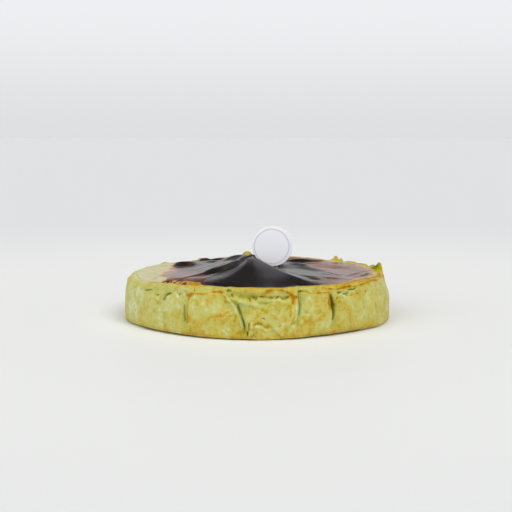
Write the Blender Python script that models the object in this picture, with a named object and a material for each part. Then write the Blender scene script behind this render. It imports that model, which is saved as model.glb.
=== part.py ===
"""A whole basque cheesecake with a round tag on a wooden pick.

The named values are in millimetres and degrees; the scene is in metres.
Frame: origin in the middle of the flat base, +Z up, -Y towards the viewer, +X to the viewer's right.
A bearing round an axis is 0 towards the viewer and grows to the viewer's right.
"""
import bmesh
import bpy
import numpy as np
from mathutils import Vector, noise

MM = 0.001

# ---- Wall of the cake -------------------------------------------------------------------------
RADIUS = 88.0                   # widest radius, baked in a lined tin of about 18 cm
RIM_HEIGHT = 30.8               # height of the rim at the front
ARC = RADIUS * np.pi / 180.0    # length of one degree along the wall

# The plan is a little flattened, and the edge of the base lifts off the table here and there.
PLAN_BEARINGS = (-180, -120, -90, -75, -60, -45, -30, -15, 0, 12, 24, 37, 50, 62, 75, 90, 130)
PLAN_INSETS = (0.8, 0.8, 1.0, 1.2, 2.4, 2.8, 2.0, 1.0, 0.6, 0.8, 1.8, 2.4, 1.8, 0.8, 0.8, 1.0, 0.8)
LIFT_BEARINGS = (-180, -80, -70, -55, -40, -25, -12, -4, -2, 6, 14, 30, 45, 56, 64, 90)
LIFTS = (0.3, 0.4, 0.9, 1.5, 1.4, 1.0, 0.8, 0.8, 0.5, 0.5, 0.9, 1.1, 1.2, 0.7, 0.3, 0.3)
FOOT_INSET = 7.0                # how far inside its edge the base rests on the table
TOE_BEARINGS = (-180, -60, -10, 16, 28, 50, 62, 120)
TOE_INSETS = (0.7, 0.7, 0.6, 0.8, 1.6, 1.6, 0.8, 0.7)    # the bottom corner is a little rounded
TOE_HEIGHT = 1.1
LEAN_BEARINGS = (-180, -120, -90, -60, 0, 60, 90, 120)
LEANS = (2.2, 1.6, 1.6, 2.4, 2.4, 2.6, 4.0, 3.2)         # the wall leans in by this much at the rim
LEAN_START = 0.35               # share of the height where it starts

# Height of the rim's crest by bearing, and the shoulder it turns over on: how far in and how far down.
RIM_BEARINGS = (-180, -166, -150, -105, -80, -58, -36, -18, 0, 45, 75, 105, 140, 160)
RIM_HEIGHTS = (30.5, 30.2, 29.2, 28.9, 27.8, 28.6, 30.4, RIM_HEIGHT, RIM_HEIGHT, 30.6, 29.8, 29.6, 29.8, 30.8)
SHOULDER_WIDTHS = (2.4, 2.6, 4.4, 5.0, 9.0, 7.0, 3.0, 2.2, 2.0, 2.0, 2.4, 2.2, 2.2, 2.2)
SHOULDER_DROPS = (2.0, 2.2, 3.0, 3.6, 4.8, 4.2, 2.6, 2.2, 2.0, 2.0, 2.2, 2.0, 2.0, 2.0)

# Crags left on the rim where the lining was pulled off: bearing, half width, height, thickness.
CRAGS = (
    (94.5, 7.0, 4.6, 3.4),      # the tall curled lip on the right
    (104.5, 4.5, 2.3, 2.6),
    (117.0, 4.0, 1.1, 1.6),
    (126.0, 4.5, 1.0, 1.5),
    (137.4, 1.5, 2.8, 1.4),     # the small fork at the back right
    (133.9, 1.0, 2.2, 1.3),
    (136.0, 4.0, 1.1, 1.5),
    (184.7, 2.5, 3.5, 2.4),     # the lump straight behind the peak
    (-152.0, 3.0, 1.0, 1.6),
    (-128.0, 2.6, 0.8, 1.6),
)

# ---- Top of the cake --------------------------------------------------------------------------
PEAK = (-5.5, -7.7)             # plan position of the tent-like peak in the skin
TENT_RADII = (0, 4, 9, 16, 28, 38, 48, 62, 78)
# Height of the top along each bearing from the peak; crisp is 1 on a sharp fold and 0 on a soft one.
TENT = (
    # bearing, crisp, heights at TENT_RADII
    (-130, 0.0, (41.8, 41.7, 40.8, 37.8, 33.6, 31.6, 30.5, 29.8, 29.4)),
    (-95, 0.0, (41.8, 41.7, 41.4, 39.0, 34.2, 31.9, 30.8, 29.6, 28.6)),
    (-75, 0.0, (41.8, 41.7, 41.4, 38.9, 34.2, 32.0, 31.0, 30.1, 29.2)),
    (-54, 0.0, (41.8, 41.7, 40.8, 38.6, 35.2, 33.3, 32.0, 31.3, 30.6)),
    (-38, 0.0, (41.8, 41.7, 40.6, 38.7, 36.1, 34.6, 33.3, 32.1, 30.9)),
    (-24, 0.0, (41.8, 41.7, 41.0, 39.5, 37.4, 35.7, 34.2, 32.8, 31.0)),
    (-7, 0.9, (41.8, 41.7, 41.4, 40.7, 38.9, 37.1, 35.4, 33.2, 30.5)),     # left edge of the steep front face
    (7, 0.0, (41.8, 41.7, 41.4, 40.8, 39.0, 37.2, 35.3, 32.9, 30.2)),
    (26, 1.2, (41.8, 41.7, 41.3, 40.3, 38.5, 37.0, 35.6, 33.6, 30.7)),     # its sharp right edge
    (40, 0.0, (41.8, 41.4, 40.2, 38.1, 35.9, 34.6, 33.5, 32.1, 30.6)),
    (60, 0.0, (41.8, 40.2, 37.0, 35.1, 33.3, 32.4, 31.7, 31.0, 30.4)),
    (90, 0.0, (41.8, 39.2, 35.0, 33.1, 32.1, 31.4, 30.8, 30.2, 29.9)),     # the hollow under the tag
    (138, 1.2, (41.8, 41.6, 40.4, 37.6, 34.6, 33.2, 31.8, 30.2, 29.7)),    # the fold behind the tag
    (165, 0.0, (41.8, 41.2, 38.8, 35.8, 32.8, 31.3, 30.6, 30.0, 29.7)),
)
SWERVE = 5.5                    # how far the front face's edges bend apart towards the rim, in degrees
# Low mounds in the skin: plan position, radii along X and Y, height.
MOUNDS = (
    (-30.0, 48.0, 10.0, 6.0, 1.3),
    (34.0, 42.0, 12.0, 5.0, -0.8),
    (52.0, 20.0, 15.0, 6.0, 0.5),
    (44.0, -22.0, 14.0, 9.0, -0.5),
)
# Folds in the skin: crest from left to right on the plan, height, width towards the viewer, width behind.
TOP_FOLDS = (
    (((-32, -40), (-25, -35.5), (-20.7, -33), (-10.5, -22)), 2.0, 4.0, 18.0),     # the long fold on the left
    (((10, 20), (18, 24), (25, 22), (31, 14), (37, 4), (44, -8)), 1.2, 7.0, 13.0),    # and on the right
    (((-48, 70), (-41, 72.5), (-34, 74.5), (-26, 72)), 1.2, 4.0, 5.0),
    (((-57, 32), (-50, 36), (-41, 35)), 2.4, 9.0, 12.0),
    (((22, 60), (28, 59), (34, 58), (40, 59)), 1.6, 4.5, 9.0),
    (((63, -30), (70, -18), (75, -6), (75, 6)), 0.9, 2.4, 2.4),
    (((44, 40), (52, 36), (60, 38)), 0.5, 7.0, 9.0),
)
# Edge of the flaked crust at the front left, and how far it stands up.
CRUST_EDGE = ((-60, -47), (-52, -58), (-48, -62.5), (-42.5, -65), (-38, -69), (-33, -70.5))
CRUST_STEP = 1.2

# ---- Tag and pick -----------------------------------------------------------------------------
TAG_CENTRE = (10.2, -9.3, 47.6)
TAG_RADIUS = 13.0
TAG_THICKNESS = 1.2
TAG_BEVEL = 0.25
PICK_RADIUS = 1.0
PICK_LEAN = 10.0                # the pick's foot stands to the right of the tag's middle
PICK_ABOVE = 6.0                # how far it reaches above the tag's middle
PICK_BELOW = 27.0               # and below it, down into the cake
PICK_POINT = 5.0                # length of its tapered tip
GAP = 0.3                       # clearance between pieces that touch

# ---- Mesh density -----------------------------------------------------------------------------
COLUMNS = 156
FRONT_DENSITY = 0.45            # how much closer the columns stand at the front than on average
FOLD_DENSITY = 2.2              # and how much closer beside a fold
FOLD_SPAN = 1.8                 # degrees to each side of a fold
FOLLOW_SPAN = 8.0               # degrees over which the columns slant with a fold
EDGE = 1.2                      # width of the wall's step at a flap's edge
WALL_ROWS = 15
SHOULDER_ROWS = 4
TOP_ROWS = 18


# ---- Small functions --------------------------------------------------------------------------
def ease(value):
    """Smooth step from 0 to 1 as value goes from 0 to 1."""
    t = np.clip(value, 0.0, 1.0)
    return t * t * (3.0 - 2.0 * t)


def window(value, low, high, soft):
    """1 between low and high, falling to 0 over soft outside them."""
    return ease((value - low) / soft + 1.0) * ease((high - value) / soft + 1.0)


def bell(value, width):
    return np.exp(-(value / width) ** 2)


def wrap(bearing):
    return (np.asarray(bearing, float) + 180.0) % 360.0 - 180.0


def round_table(bearing, bearings, values):
    """Smooth periodic curve through values given at rising bearings."""
    b = np.asarray(bearing, float)
    knots = np.array(list(bearings) + [bearings[0] + 360.0])
    levels = np.array(list(values) + [values[0]])
    b = (b - knots[0]) % 360.0 + knots[0]
    index = np.clip(np.searchsorted(knots, b, side="right") - 1, 0, len(knots) - 2)
    t = (b - knots[index]) / (knots[index + 1] - knots[index])
    return levels[index] + (levels[index + 1] - levels[index]) * ease(t)


def rough(points, size, seed):
    """Soft noise between about -1 and 1 at 3D points, with lumps of the given size."""
    shift = Vector((seed * 7.31, seed * 3.17, seed * 5.73))
    return np.array([noise.noise(Vector(p) / size + shift) for p in points])


# ---- Relief of the wall -----------------------------------------------------------------------
def upright(bearing, height, path, fade=1.5):
    """Distance along the wall from a crease given from foot to head, and its reach 0 to 1."""
    heights = [point[1] for point in path]
    turns = [wrap(point[0] - path[0][0]) for point in path]
    offset = wrap(bearing - path[0][0] - np.interp(height, heights, turns)) * ARC
    return offset, window(height, heights[0], heights[-1], fade)


def level(bearing, height, path, fade=1.5):
    """Height above a crease that runs along the wall, and its reach 0 to 1."""
    bearings, heights = zip(*path)
    offset = height - np.interp(bearing, bearings, heights)
    return offset, window(bearing, bearings[0], bearings[-1], fade / ARC)


def flap_edge(bearing, height, path, side, drop, run):
    """The wall beyond a flap's edge lies lower by drop and comes back over run; side is where it is."""
    offset, reach = upright(bearing, height, path)
    beyond = offset * side
    lip = 0.7 * bell(beyond + 1.2, 1.5)
    return reach * (lip - drop * ease(beyond / EDGE + 0.5) * np.exp(-np.clip(beyond, 0, None) / run))


# Folds of the front as (bearing, height) points from foot to head.
FLAP_A_LEFT = ((-28.7, 4.0), (-29.2, 27.0))
FLAP_A_RIGHT = ((-5.0, 6.0), (-5.9, 10.0), (-6.8, 14.0), (-7.8, 17.0), (-8.7, 19.5), (-9.8, 22.0),
                (-11.2, 24.0), (-12.3, 27.0), (-12.8, 30.0))
BIG_FOLD = ((13.8, 4.0), (14.2, 9.5), (15.0, 14.0), (15.8, 19.0), (16.0, 23.5), (16.1, 28.0))
SLIT = ((31.4, 6.0), (31.9, 10.5), (32.6, 13.6), (33.1, 16.5), (32.8, 19.0), (32.2, 22.2), (31.4, 26.0))
BROW = ((3.0, 28.5), (5.0, 29.4), (7.8, 29.9), (10.1, 29.4), (12.1, 28.3), (13.7, 27.0), (15.4, 25.7))
TORN_LINE = ((-1.6, 25.6), (1.2, 25.6), (4.0, 25.4), (6.5, 25.0), (8.8, 25.4), (10.6, 24.5), (12.6, 25.2))
BACK_START, BACK_END = 124.0, 258.0     # the folds away from the viewer stand between these bearings


def back_folds():
    """Folds of the side away from the viewer, in the manner of the front: path, side, drop and run."""
    draw = np.random.default_rng(11)
    folds = []
    middle = BACK_START
    while middle < BACK_END:
        slant = draw.uniform(-5.0, 5.0)
        foot = (wrap(middle - slant), draw.uniform(2.0, 9.0))
        waist = (wrap(middle + draw.uniform(-2.0, 2.0)), draw.uniform(13.0, 18.0))
        head = (wrap(middle + slant), draw.uniform(22.0, 28.0))
        path = (foot, waist, head)
        folds.append((path, draw.choice((-1.0, 1.0)), draw.uniform(0.8, 2.4), draw.uniform(5.0, 12.0)))
        middle += draw.uniform(13.0, 36.0)
    return folds


BACK_FOLDS = back_folds()


def front_relief(bearing, height):
    """Folds, flaps and cracks of the wall that faces the viewer."""
    b, h = bearing, height
    out = np.zeros_like(b)
    # flap A: its left edge stands out of a groove, its slanting right edge hangs over a hollow
    offset, reach = upright(b, h, FLAP_A_LEFT)
    out += 0.9 * reach * ease(offset / EDGE + 0.5) * np.exp(-np.clip(offset, 0, None) / 7.0)
    offset, reach = upright(b, h, ((-30.5, 5.0), (-30.4, 12.0), (-30.0, 20.0)), 4.0)
    out -= (0.4 + 0.7 * bell(h - 12.5, 5.0)) * bell(offset, 1.5) * reach
    offset, reach = upright(b, h, FLAP_A_RIGHT)
    hollow = 1.5 + 11.0 * ease((h - 7.0) / 18.0)
    drop = 2.8 * window(h, 9.0, 20.0, 8.0)
    out -= drop * ease(offset / EDGE + 0.5) * np.exp(-(np.clip(offset, 0, None) / hollow) ** 1.6)
    out += 0.8 * reach * bell(offset + 1.0, 1.6)
    # the top edges of flaps A and B stand out under the rim
    for lo, hi, edge in ((-29.0, -13.0, 27.2), (17.6, 31.2, 27.0)):
        inside = window(b, lo, hi, 1.0)
        out += 0.6 * inside * ease((edge - h) / EDGE + 0.5) * np.exp(-np.clip(edge - h, 0, None) / 5.0)
    # the slanting trough between flap A and the brow, with a shelf under it
    offset, reach = level(b, h, ((-10.0, 27.4), (-1.0, 24.2)), 4.0)
    out += (-1.5 * bell(offset, 2.2) + 1.1 * bell(offset + 3.4, 1.6)) * reach
    # brow: the rim bulges over a torn line
    offset, reach = level(b, h, BROW)
    out += 1.0 * bell(offset, 0.9) * reach
    offset, reach = level(b, h, TORN_LINE)
    out += (-1.3 * bell(offset, 1.1) + 0.8 * bell(offset + 2.3, 1.6)) * reach
    # the big fold: a ridge with a groove on its right
    offset, reach = upright(b, h, BIG_FOLD)
    fold_depth = 0.5 + 1.3 * ease((h - 8.0) / 14.0)
    out += 0.9 * bell(offset, 1.1) * reach
    out -= fold_depth * reach * bell(offset - 2.4, 1.7)
    out -= 0.6 * fold_depth * reach * bell(offset - 5.0, 3.4)
    # the dark slit on the right of flap B
    offset, reach = upright(b, h, SLIT, 3.0)
    gape = 0.9 + 0.8 * bell(h - 17.5, 4.0)
    out -= (0.5 + 3.6 * bell(h - 18.0, 5.5)) * bell(offset, gape) * reach
    out += 0.6 * bell(offset + 2.2, 1.6) * reach
    # cracks on the left shoulder
    offset, reach = upright(b, h, ((-42.9, 20.5), (-41.8, 22.2), (-41.0, 23.7), (-39.0, 24.8)), 1.0)
    out -= 1.2 * bell(offset, 1.0) * reach
    offset, reach = level(b, h, ((-56.5, 23.8), (-53.4, 24.7), (-50.0, 26.6)))
    out -= 0.9 * bell(offset, 0.7) * reach
    # the small flap standing on the base, and the creases round it
    offset, reach = upright(b, h, ((-3.1, 0.0), (-2.2, 5.5), (-1.9, 9.6)))
    out += (1.3 * bell(offset, 1.1) - 1.0 * bell(offset + 2.0, 0.9)) * reach
    offset, reach = level(b, h, ((-1.6, 9.2), (0.0, 10.0), (1.6, 9.5), (3.0, 7.6)))
    out += (-1.0 * bell(offset, 0.8) + 0.6 * bell(offset + 1.8, 1.0)) * reach
    offset, reach = upright(b, h, ((10.2, 2.3), (8.4, 4.0), (7.4, 6.0), (6.0, 8.2)))
    out += (0.8 * bell(offset, 0.9) - 0.5 * bell(offset + 1.6, 0.8)) * reach
    return out


def pleats(bearing, height, place):
    """Upright creases of the right end."""
    reach = window(bearing, 50.0, 125.0, 14.0)
    return 0.45 * reach * rough(place * (1.0, 1.0, 0.09), 4.2, 7)


def wall_radius(bearing, height, crest):
    """Radius of the wall at each bearing and height, with all its relief."""
    b = wrap(bearing)
    share = np.clip(height / crest, 0.0, 1.2)
    lean = round_table(b, LEAN_BEARINGS, LEANS)
    plain = RADIUS - round_table(b, PLAN_BEARINGS, PLAN_INSETS)
    plain -= lean * ease((share - LEAN_START) / (1.0 - LEAN_START)) ** 1.3
    lift = round_table(b, LIFT_BEARINGS, LIFTS)
    plain -= round_table(b, TOE_BEARINGS, TOE_INSETS) * np.exp(-np.clip(height - lift, 0.0, None) / TOE_HEIGHT)
    place = ring(b, RADIUS, height)
    waves = 0.45 * rough(place * (1.0, 1.0, 0.6), 34.0, 1) + 0.35 * rough(place * (1.0, 1.0, 0.7), 11.0, 2)
    folds = front_relief(b, height) + pleats(b, height, place)
    for path, side, drop, run in BACK_FOLDS:
        folds = folds + flap_edge(b, height, path, side, drop, run)
    return plain + waves + folds * window(height, 2.0, 60.0, 2.0)


# ---- Rim --------------------------------------------------------------------------------------
def crag_height(bearing):
    """How far the crags stand above the rim, and how thick they are there."""
    total = np.zeros_like(bearing)
    thickness = np.full_like(bearing, 3.0)
    for centre, half_width, tall, thick in CRAGS:
        part = tall * np.exp(-np.abs(wrap(bearing - centre) / half_width) ** 4)
        thickness = np.where(part > total, thick, thickness)
        total = np.maximum(total, part)
    return total * (1.0 + 0.3 * rough(ring(bearing, RADIUS, bearing * 0.0), 4.0, 8)), thickness


def rim(bearing):
    """Crest height, shoulder width and drop, and crag height and thickness at each bearing."""
    crest = round_table(bearing, RIM_BEARINGS, RIM_HEIGHTS)
    width = round_table(bearing, RIM_BEARINGS, SHOULDER_WIDTHS)
    drop = round_table(bearing, RIM_BEARINGS, SHOULDER_DROPS)
    crest = crest + 0.35 * rough(ring(bearing, RADIUS, bearing * 0.0), 9.0, 3)
    crag, thick = crag_height(bearing)
    return crest, width, drop, crag, thick


# ---- Top --------------------------------------------------------------------------------------
def tent(x, y):
    """Height of the top: one radial curve for each fold and hollow, blended round the peak."""
    away = np.hypot(x - PEAK[0], y - PEAK[1])
    bearing = np.degrees(np.arctan2(x - PEAK[0], -(y - PEAK[1])))
    order = np.array([line[0] for line in TENT] + [TENT[0][0] + 360.0])
    crisp = np.array([line[1] for line in TENT] + [TENT[0][1]])
    curves = np.array([radial_curve(away, line[2]) for line in TENT])
    curves = np.concatenate([curves, curves[:1]])
    # the front face's right edge bends outwards all the way, its left edge first inwards
    right = bell(bearing - 30.0, 18.0) * ease((away - 26.0) / 46.0)
    left = bell(bearing + 8.0, 18.0) * (ease((away - 16.0) / 50.0) * 2.4 - 1.0)
    bearing = bearing - SWERVE * (right - left)
    b = (bearing - order[0]) % 360.0 + order[0]
    index = np.clip(np.searchsorted(order, b, side="right") - 1, 0, len(order) - 2)
    t = (b - order[index]) / (order[index + 1] - order[index])
    blend = (t**3 - 2 * t**2 + t) * crisp[index] + (3 * t**2 - 2 * t**3) + (t**3 - t**2) * crisp[index + 1]
    column = np.arange(len(b))
    return curves[index, column] * (1.0 - blend) + curves[index + 1, column] * blend


def radial_curve(away, heights):
    """Smooth curve through heights at TENT_RADII, level at the peak."""
    radii = np.array(TENT_RADII, float)
    heights = np.array(heights, float)
    slopes = np.gradient(heights, radii)
    slopes[0] = 0.0
    r = np.clip(away, 0.0, radii[-1])
    index = np.clip(np.searchsorted(radii, r, side="right") - 1, 0, len(radii) - 2)
    span = radii[index + 1] - radii[index]
    t = (r - radii[index]) / span
    start = (2 * t**3 - 3 * t**2 + 1) * heights[index] + (t**3 - 2 * t**2 + t) * span * slopes[index]
    end = (3 * t**2 - 2 * t**3) * heights[index + 1] + (t**3 - t**2) * span * slopes[index + 1]
    return start + end


def beside(x, y, path):
    """Distance from a path on the plan, positive towards the viewer, and how much of the path passes here."""
    corners = np.array(path, float)
    runs = np.hypot(*(corners[1:] - corners[:-1]).T)
    passed = np.concatenate([[0.0], np.cumsum(runs)])
    best = np.full(x.shape, 1e9)
    side = np.ones(x.shape)
    share = np.zeros(x.shape)
    for (ax, ay), (bx, by), run, before in zip(corners, corners[1:], runs, passed):
        ux, uy = (bx - ax) / run, (by - ay) / run
        along = np.clip((x - ax) * ux + (y - ay) * uy, 0.0, run)
        away = np.hypot(x - ax - along * ux, y - ay - along * uy)
        closer = away < best
        share = np.where(closer, (before + along) / passed[-1], share)
        side = np.where(closer, np.sign(uy * (x - ax) - ux * (y - ay)), side)
        best = np.minimum(best, away)
    return best * side, share


def top_folds(x, y):
    out = np.zeros_like(x)
    for path, tall, front, behind in TOP_FOLDS:
        offset, share = beside(x, y, path)
        taper = np.sin(np.pi * (0.12 + 0.76 * share))
        out += tall * taper * np.where(offset > 0.0, bell(offset, front), bell(offset, behind))
    return out


def top_height(x, y):
    height = tent(x, y) + top_folds(x, y)
    for cx, cy, rx, ry, tall in MOUNDS:
        height = height + tall * np.exp(-((x - cx) / rx) ** 2 - ((y - cy) / ry) ** 2)
    place = np.stack([x, y, x * 0.0], axis=-1)
    height = height + 0.15 * rough(place, 12.0, 4)
    offset, share = beside(x, y, CRUST_EDGE)
    taper = np.sin(np.pi * np.clip(share, 0.02, 0.98)) ** 0.5
    return height + CRUST_STEP * taper * np.where(offset > 0.0, bell(offset, 1.5), bell(offset, 9.0))


# ---- Cake -------------------------------------------------------------------------------------
def tall_folds():
    """Paths that the mesh columns gather at and follow."""
    return [FLAP_A_LEFT, FLAP_A_RIGHT, BIG_FOLD, SLIT] + [fold[0] for fold in BACK_FOLDS]


def middle_of(path):
    return wrap(0.5 * (path[0][0] + path[0][0] + wrap(path[-1][0] - path[0][0])))


def columns():
    """Bearings of the mesh columns, closer together at the front and beside the folds."""
    fine = np.linspace(-180.0, 180.0, 7201)
    density = 1.0 + FRONT_DENSITY * np.cos(np.radians(fine))
    for path in tall_folds():
        density += FOLD_DENSITY * bell(wrap(fine - middle_of(path)), FOLD_SPAN)
    running = np.concatenate([[0.0], np.cumsum(0.5 * (density[1:] + density[:-1]))])
    return np.interp(np.arange(COLUMNS) / COLUMNS * running[-1], running, fine)


def follow(bearing, height):
    """Bearings of the columns at this height, slanted to run along the folds."""
    shift = np.zeros_like(bearing)
    for path in tall_folds():
        middle = middle_of(path)
        heights = [point[1] for point in path]
        turns = [wrap(point[0] - middle) for point in path]
        shift += np.interp(height, heights, turns) * bell(wrap(bearing - middle), FOLLOW_SPAN)
    return bearing + shift


def ring(bearing, radius, height):
    angle = np.radians(bearing)
    return np.stack([radius * np.sin(angle), -radius * np.cos(angle), height], axis=-1)


def cake_rings():
    """Rings of points from the base's edge up the wall, over the shoulder and in to the peak."""
    foot = columns()
    bearing = follow(foot, RIM_HEIGHT)
    crest, width, drop, crag, thick = rim(bearing)
    standing = ease(crag / 1.5)
    width = width * (1.0 - standing) + 1.2 * standing
    drop = drop * (1.0 - standing) + 1.0 * standing
    peak_line = crest + crag
    wall_top = peak_line - drop
    lift = round_table(foot, LIFT_BEARINGS, LIFTS)
    contact = RADIUS - round_table(foot, PLAN_BEARINGS, PLAN_INSETS) - FOOT_INSET
    rings = [ring(foot, contact, foot * 0.0)]
    for share in np.linspace(0.0, 1.0, WALL_ROWS - 1) ** 0.92:
        height = lift + (wall_top - lift) * share
        slanted = follow(foot, height)
        rings.append(ring(slanted, wall_radius(slanted, height, crest), height))
    edge = wall_radius(bearing, wall_top, crest)
    for turn in np.linspace(0.0, 90.0, SHOULDER_ROWS + 1)[1:]:
        t = np.radians(turn)
        rings.append(ring(bearing, edge - width * (1.0 - np.cos(t)), wall_top + drop * np.sin(t)))
    cx, cy = rings[-1][:, 0], rings[-1][:, 1]
    field_at_crest = top_height(cx, cy)
    lip_run = thick * standing + (2.0 + 0.9 * width) * (1.0 - standing)
    for share in np.linspace(0.0, 1.0, TOP_ROWS + 1)[1:-1] ** 1.3:
        x = cx + (PEAK[0] - cx) * share
        y = cy + (PEAK[1] - cy) * share
        inward = np.hypot(x - cx, y - cy)
        lip = (peak_line - field_at_crest) * np.exp(-inward / lip_run)
        rings.append(np.stack([x, y, top_height(x, y) + lip], axis=-1))
    return rings


def mesh_object(name, bm, material):
    mesh = bpy.data.meshes.new(name)
    bm.to_mesh(mesh)
    bm.free()
    mesh.materials.append(material)
    item = bpy.data.objects.new(name, mesh)
    bpy.context.collection.objects.link(item)
    return item


def make_cake(material):
    rings = cake_rings()
    bm = bmesh.new()
    rows = [[bm.verts.new(Vector(point) * MM) for point in points] for points in rings]
    for lower, upper in zip(rows, rows[1:]):
        for i in range(COLUMNS):
            j = (i + 1) % COLUMNS
            bm.faces.new((lower[i], lower[j], upper[j], upper[i]))
    bm.faces.new(list(reversed(rows[0])))
    tip_height = float(top_height(np.array([PEAK[0]]), np.array([PEAK[1]]))[0])
    tip = bm.verts.new(Vector((PEAK[0], PEAK[1], tip_height)) * MM)
    for i in range(COLUMNS):
        bm.faces.new((rows[-1][i], rows[-1][(i + 1) % COLUMNS], tip))
    bmesh.ops.recalc_face_normals(bm, faces=bm.faces)
    cake = mesh_object("cake", bm, material)
    cake.data.shade_smooth()
    return cake


# ---- Tag and pick -----------------------------------------------------------------------------
def pick_frame():
    """Where the pick's axis passes behind the tag, and the direction down along it."""
    lean = np.radians(PICK_LEAN)
    behind = TAG_THICKNESS / 2 + GAP + PICK_RADIUS
    middle = Vector((TAG_CENTRE[0], TAG_CENTRE[1] + behind, TAG_CENTRE[2]))
    return middle, Vector((np.sin(lean), 0.0, -np.cos(lean)))


def stick(name, material, radius, start, end, point, sides=12):
    """Round stick from start to end along the pick's axis, with a tapered tip of length point."""
    middle, down = pick_frame()
    side = Vector((0.0, 1.0, 0.0))
    other = down.cross(side)
    bm = bmesh.new()
    rows = []
    for along, size in ((start, radius), (end - point, radius), (end, radius * 0.25)):
        row = []
        for i in range(sides):
            turn = 2.0 * np.pi * i / sides
            offset = (side * np.cos(turn) + other * np.sin(turn)) * size
            row.append(bm.verts.new((middle + down * along + offset) * MM))
        rows.append(row)
    for lower, upper in zip(rows, rows[1:]):
        for i in range(sides):
            j = (i + 1) % sides
            bm.faces.new((lower[i], lower[j], upper[j], upper[i]))
    bm.faces.new(list(reversed(rows[0])))
    bm.faces.new(rows[-1])
    bmesh.ops.recalc_face_normals(bm, faces=bm.faces)
    return mesh_object(name, bm, material)


def cut_pick_hole(cake, material):
    """The pick stands in a hole with a little clearance all round."""
    cutter = stick("pick_hole", material, PICK_RADIUS + GAP, 0.0, PICK_BELOW + 2 * GAP, PICK_POINT)
    cutter.hide_render = True
    cutter.display_type = "WIRE"
    cut = cake.modifiers.new("pick hole", "BOOLEAN")
    cut.operation = "DIFFERENCE"
    cut.object = cutter


def make_tag(material):
    bm = bmesh.new()
    bmesh.ops.create_cone(bm, cap_ends=True, segments=64, radius1=TAG_RADIUS * MM,
                          radius2=TAG_RADIUS * MM, depth=TAG_THICKNESS * MM)
    caps = [face for face in bm.faces if len(face.verts) > 4]
    rims = list({edge for face in caps for edge in face.edges})
    bmesh.ops.bevel(bm, geom=rims, offset=TAG_BEVEL * MM, segments=1, affect="EDGES")
    tag = mesh_object("topper_disc", bm, material)
    tag.rotation_euler = (np.pi / 2, 0.0, 0.0)
    tag.location = Vector(TAG_CENTRE) * MM
    tag.data.shade_smooth()
    tag.data.set_sharp_from_angle(angle=np.radians(30.0))
    return tag


# ---- Materials --------------------------------------------------------------------------------
def material(name, colour, roughness, metallic=0.0):
    item = bpy.data.materials.new(name)
    item.use_nodes = True
    item.diffuse_color = (*colour, 1.0)
    shader = item.node_tree.nodes["Principled BSDF"]
    shader.inputs["Base Color"].default_value = (*colour, 1.0)
    shader.inputs["Roughness"].default_value = roughness
    shader.inputs["Metallic"].default_value = metallic
    return item


def clear_scene():
    for item in list(bpy.data.objects):
        bpy.data.objects.remove(item, do_unlink=True)


def main():
    clear_scene()
    cheesecake = material("cheesecake", (0.56, 0.50, 0.16), 0.5)
    card = material("tag_card", (0.78, 0.78, 0.81), 0.4)
    wood = material("pick_wood", (0.62, 0.42, 0.20), 0.6)
    cake = make_cake(cheesecake)
    make_tag(card)
    stick("topper_pick", wood, PICK_RADIUS, -PICK_ABOVE, PICK_BELOW, PICK_POINT)
    cut_pick_hole(cake, cheesecake)


main()
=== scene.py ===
"""Looks of the whole basque cheesecake, its tag and its pick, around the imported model.

The named values are in millimetres and degrees; the scene is in metres.
A bearing round an axis is 0 towards the viewer (-Y) and grows to the viewer's right (+X).
"""

import bpy
import numpy as np
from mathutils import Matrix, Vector, noise


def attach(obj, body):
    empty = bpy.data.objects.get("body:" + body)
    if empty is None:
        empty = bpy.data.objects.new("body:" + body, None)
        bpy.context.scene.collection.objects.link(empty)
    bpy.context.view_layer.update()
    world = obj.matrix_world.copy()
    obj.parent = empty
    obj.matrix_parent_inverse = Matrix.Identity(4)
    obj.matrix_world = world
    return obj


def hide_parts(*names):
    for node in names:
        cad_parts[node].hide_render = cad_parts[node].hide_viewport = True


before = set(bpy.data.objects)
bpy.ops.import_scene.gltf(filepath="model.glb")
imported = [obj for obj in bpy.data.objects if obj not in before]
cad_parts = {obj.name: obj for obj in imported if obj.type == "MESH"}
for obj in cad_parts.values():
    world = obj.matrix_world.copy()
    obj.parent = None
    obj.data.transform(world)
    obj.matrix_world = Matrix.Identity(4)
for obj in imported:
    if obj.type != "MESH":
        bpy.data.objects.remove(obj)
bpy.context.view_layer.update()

MM = 0.001

# ---- Camera: the photograph's viewpoint ----
CAMERA_PLACE = (-0.565, -763.9, 128.8)
CAMERA_PITCH = 6.617            # degrees that it looks down
FOCAL_PIXELS = 1165.0
IMAGE_PIXELS = 512
SENSOR = 36.0

# ---- Wall of the cake, as in the solid ----
RADIUS = 88.0
RIM_HEIGHT = 30.8
ARC = RADIUS * np.pi / 180.0

# The plan is a little flattened, and the edge of the base lifts off the table here and there.
PLAN_BEARINGS = (-180, -120, -90, -75, -60, -45, -30, -15, 0, 12, 24, 37, 50, 62, 75, 90, 130)
PLAN_INSETS = (0.8, 0.8, 1.0, 1.2, 2.4, 2.8, 2.0, 1.0, 0.6, 0.8, 1.8, 2.4, 1.8, 0.8, 0.8, 1.0, 0.8)
LIFT_BEARINGS = (-180, -80, -70, -55, -40, -25, -12, -4, -2, 6, 14, 30, 45, 56, 64, 90)
LIFTS = (0.3, 0.4, 0.9, 1.5, 1.4, 1.0, 0.8, 0.8, 0.5, 0.5, 0.9, 1.1, 1.2, 0.7, 0.3, 0.3)
FOOT_INSET = 7.0                # from the wall in to the edge of the flat base
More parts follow.
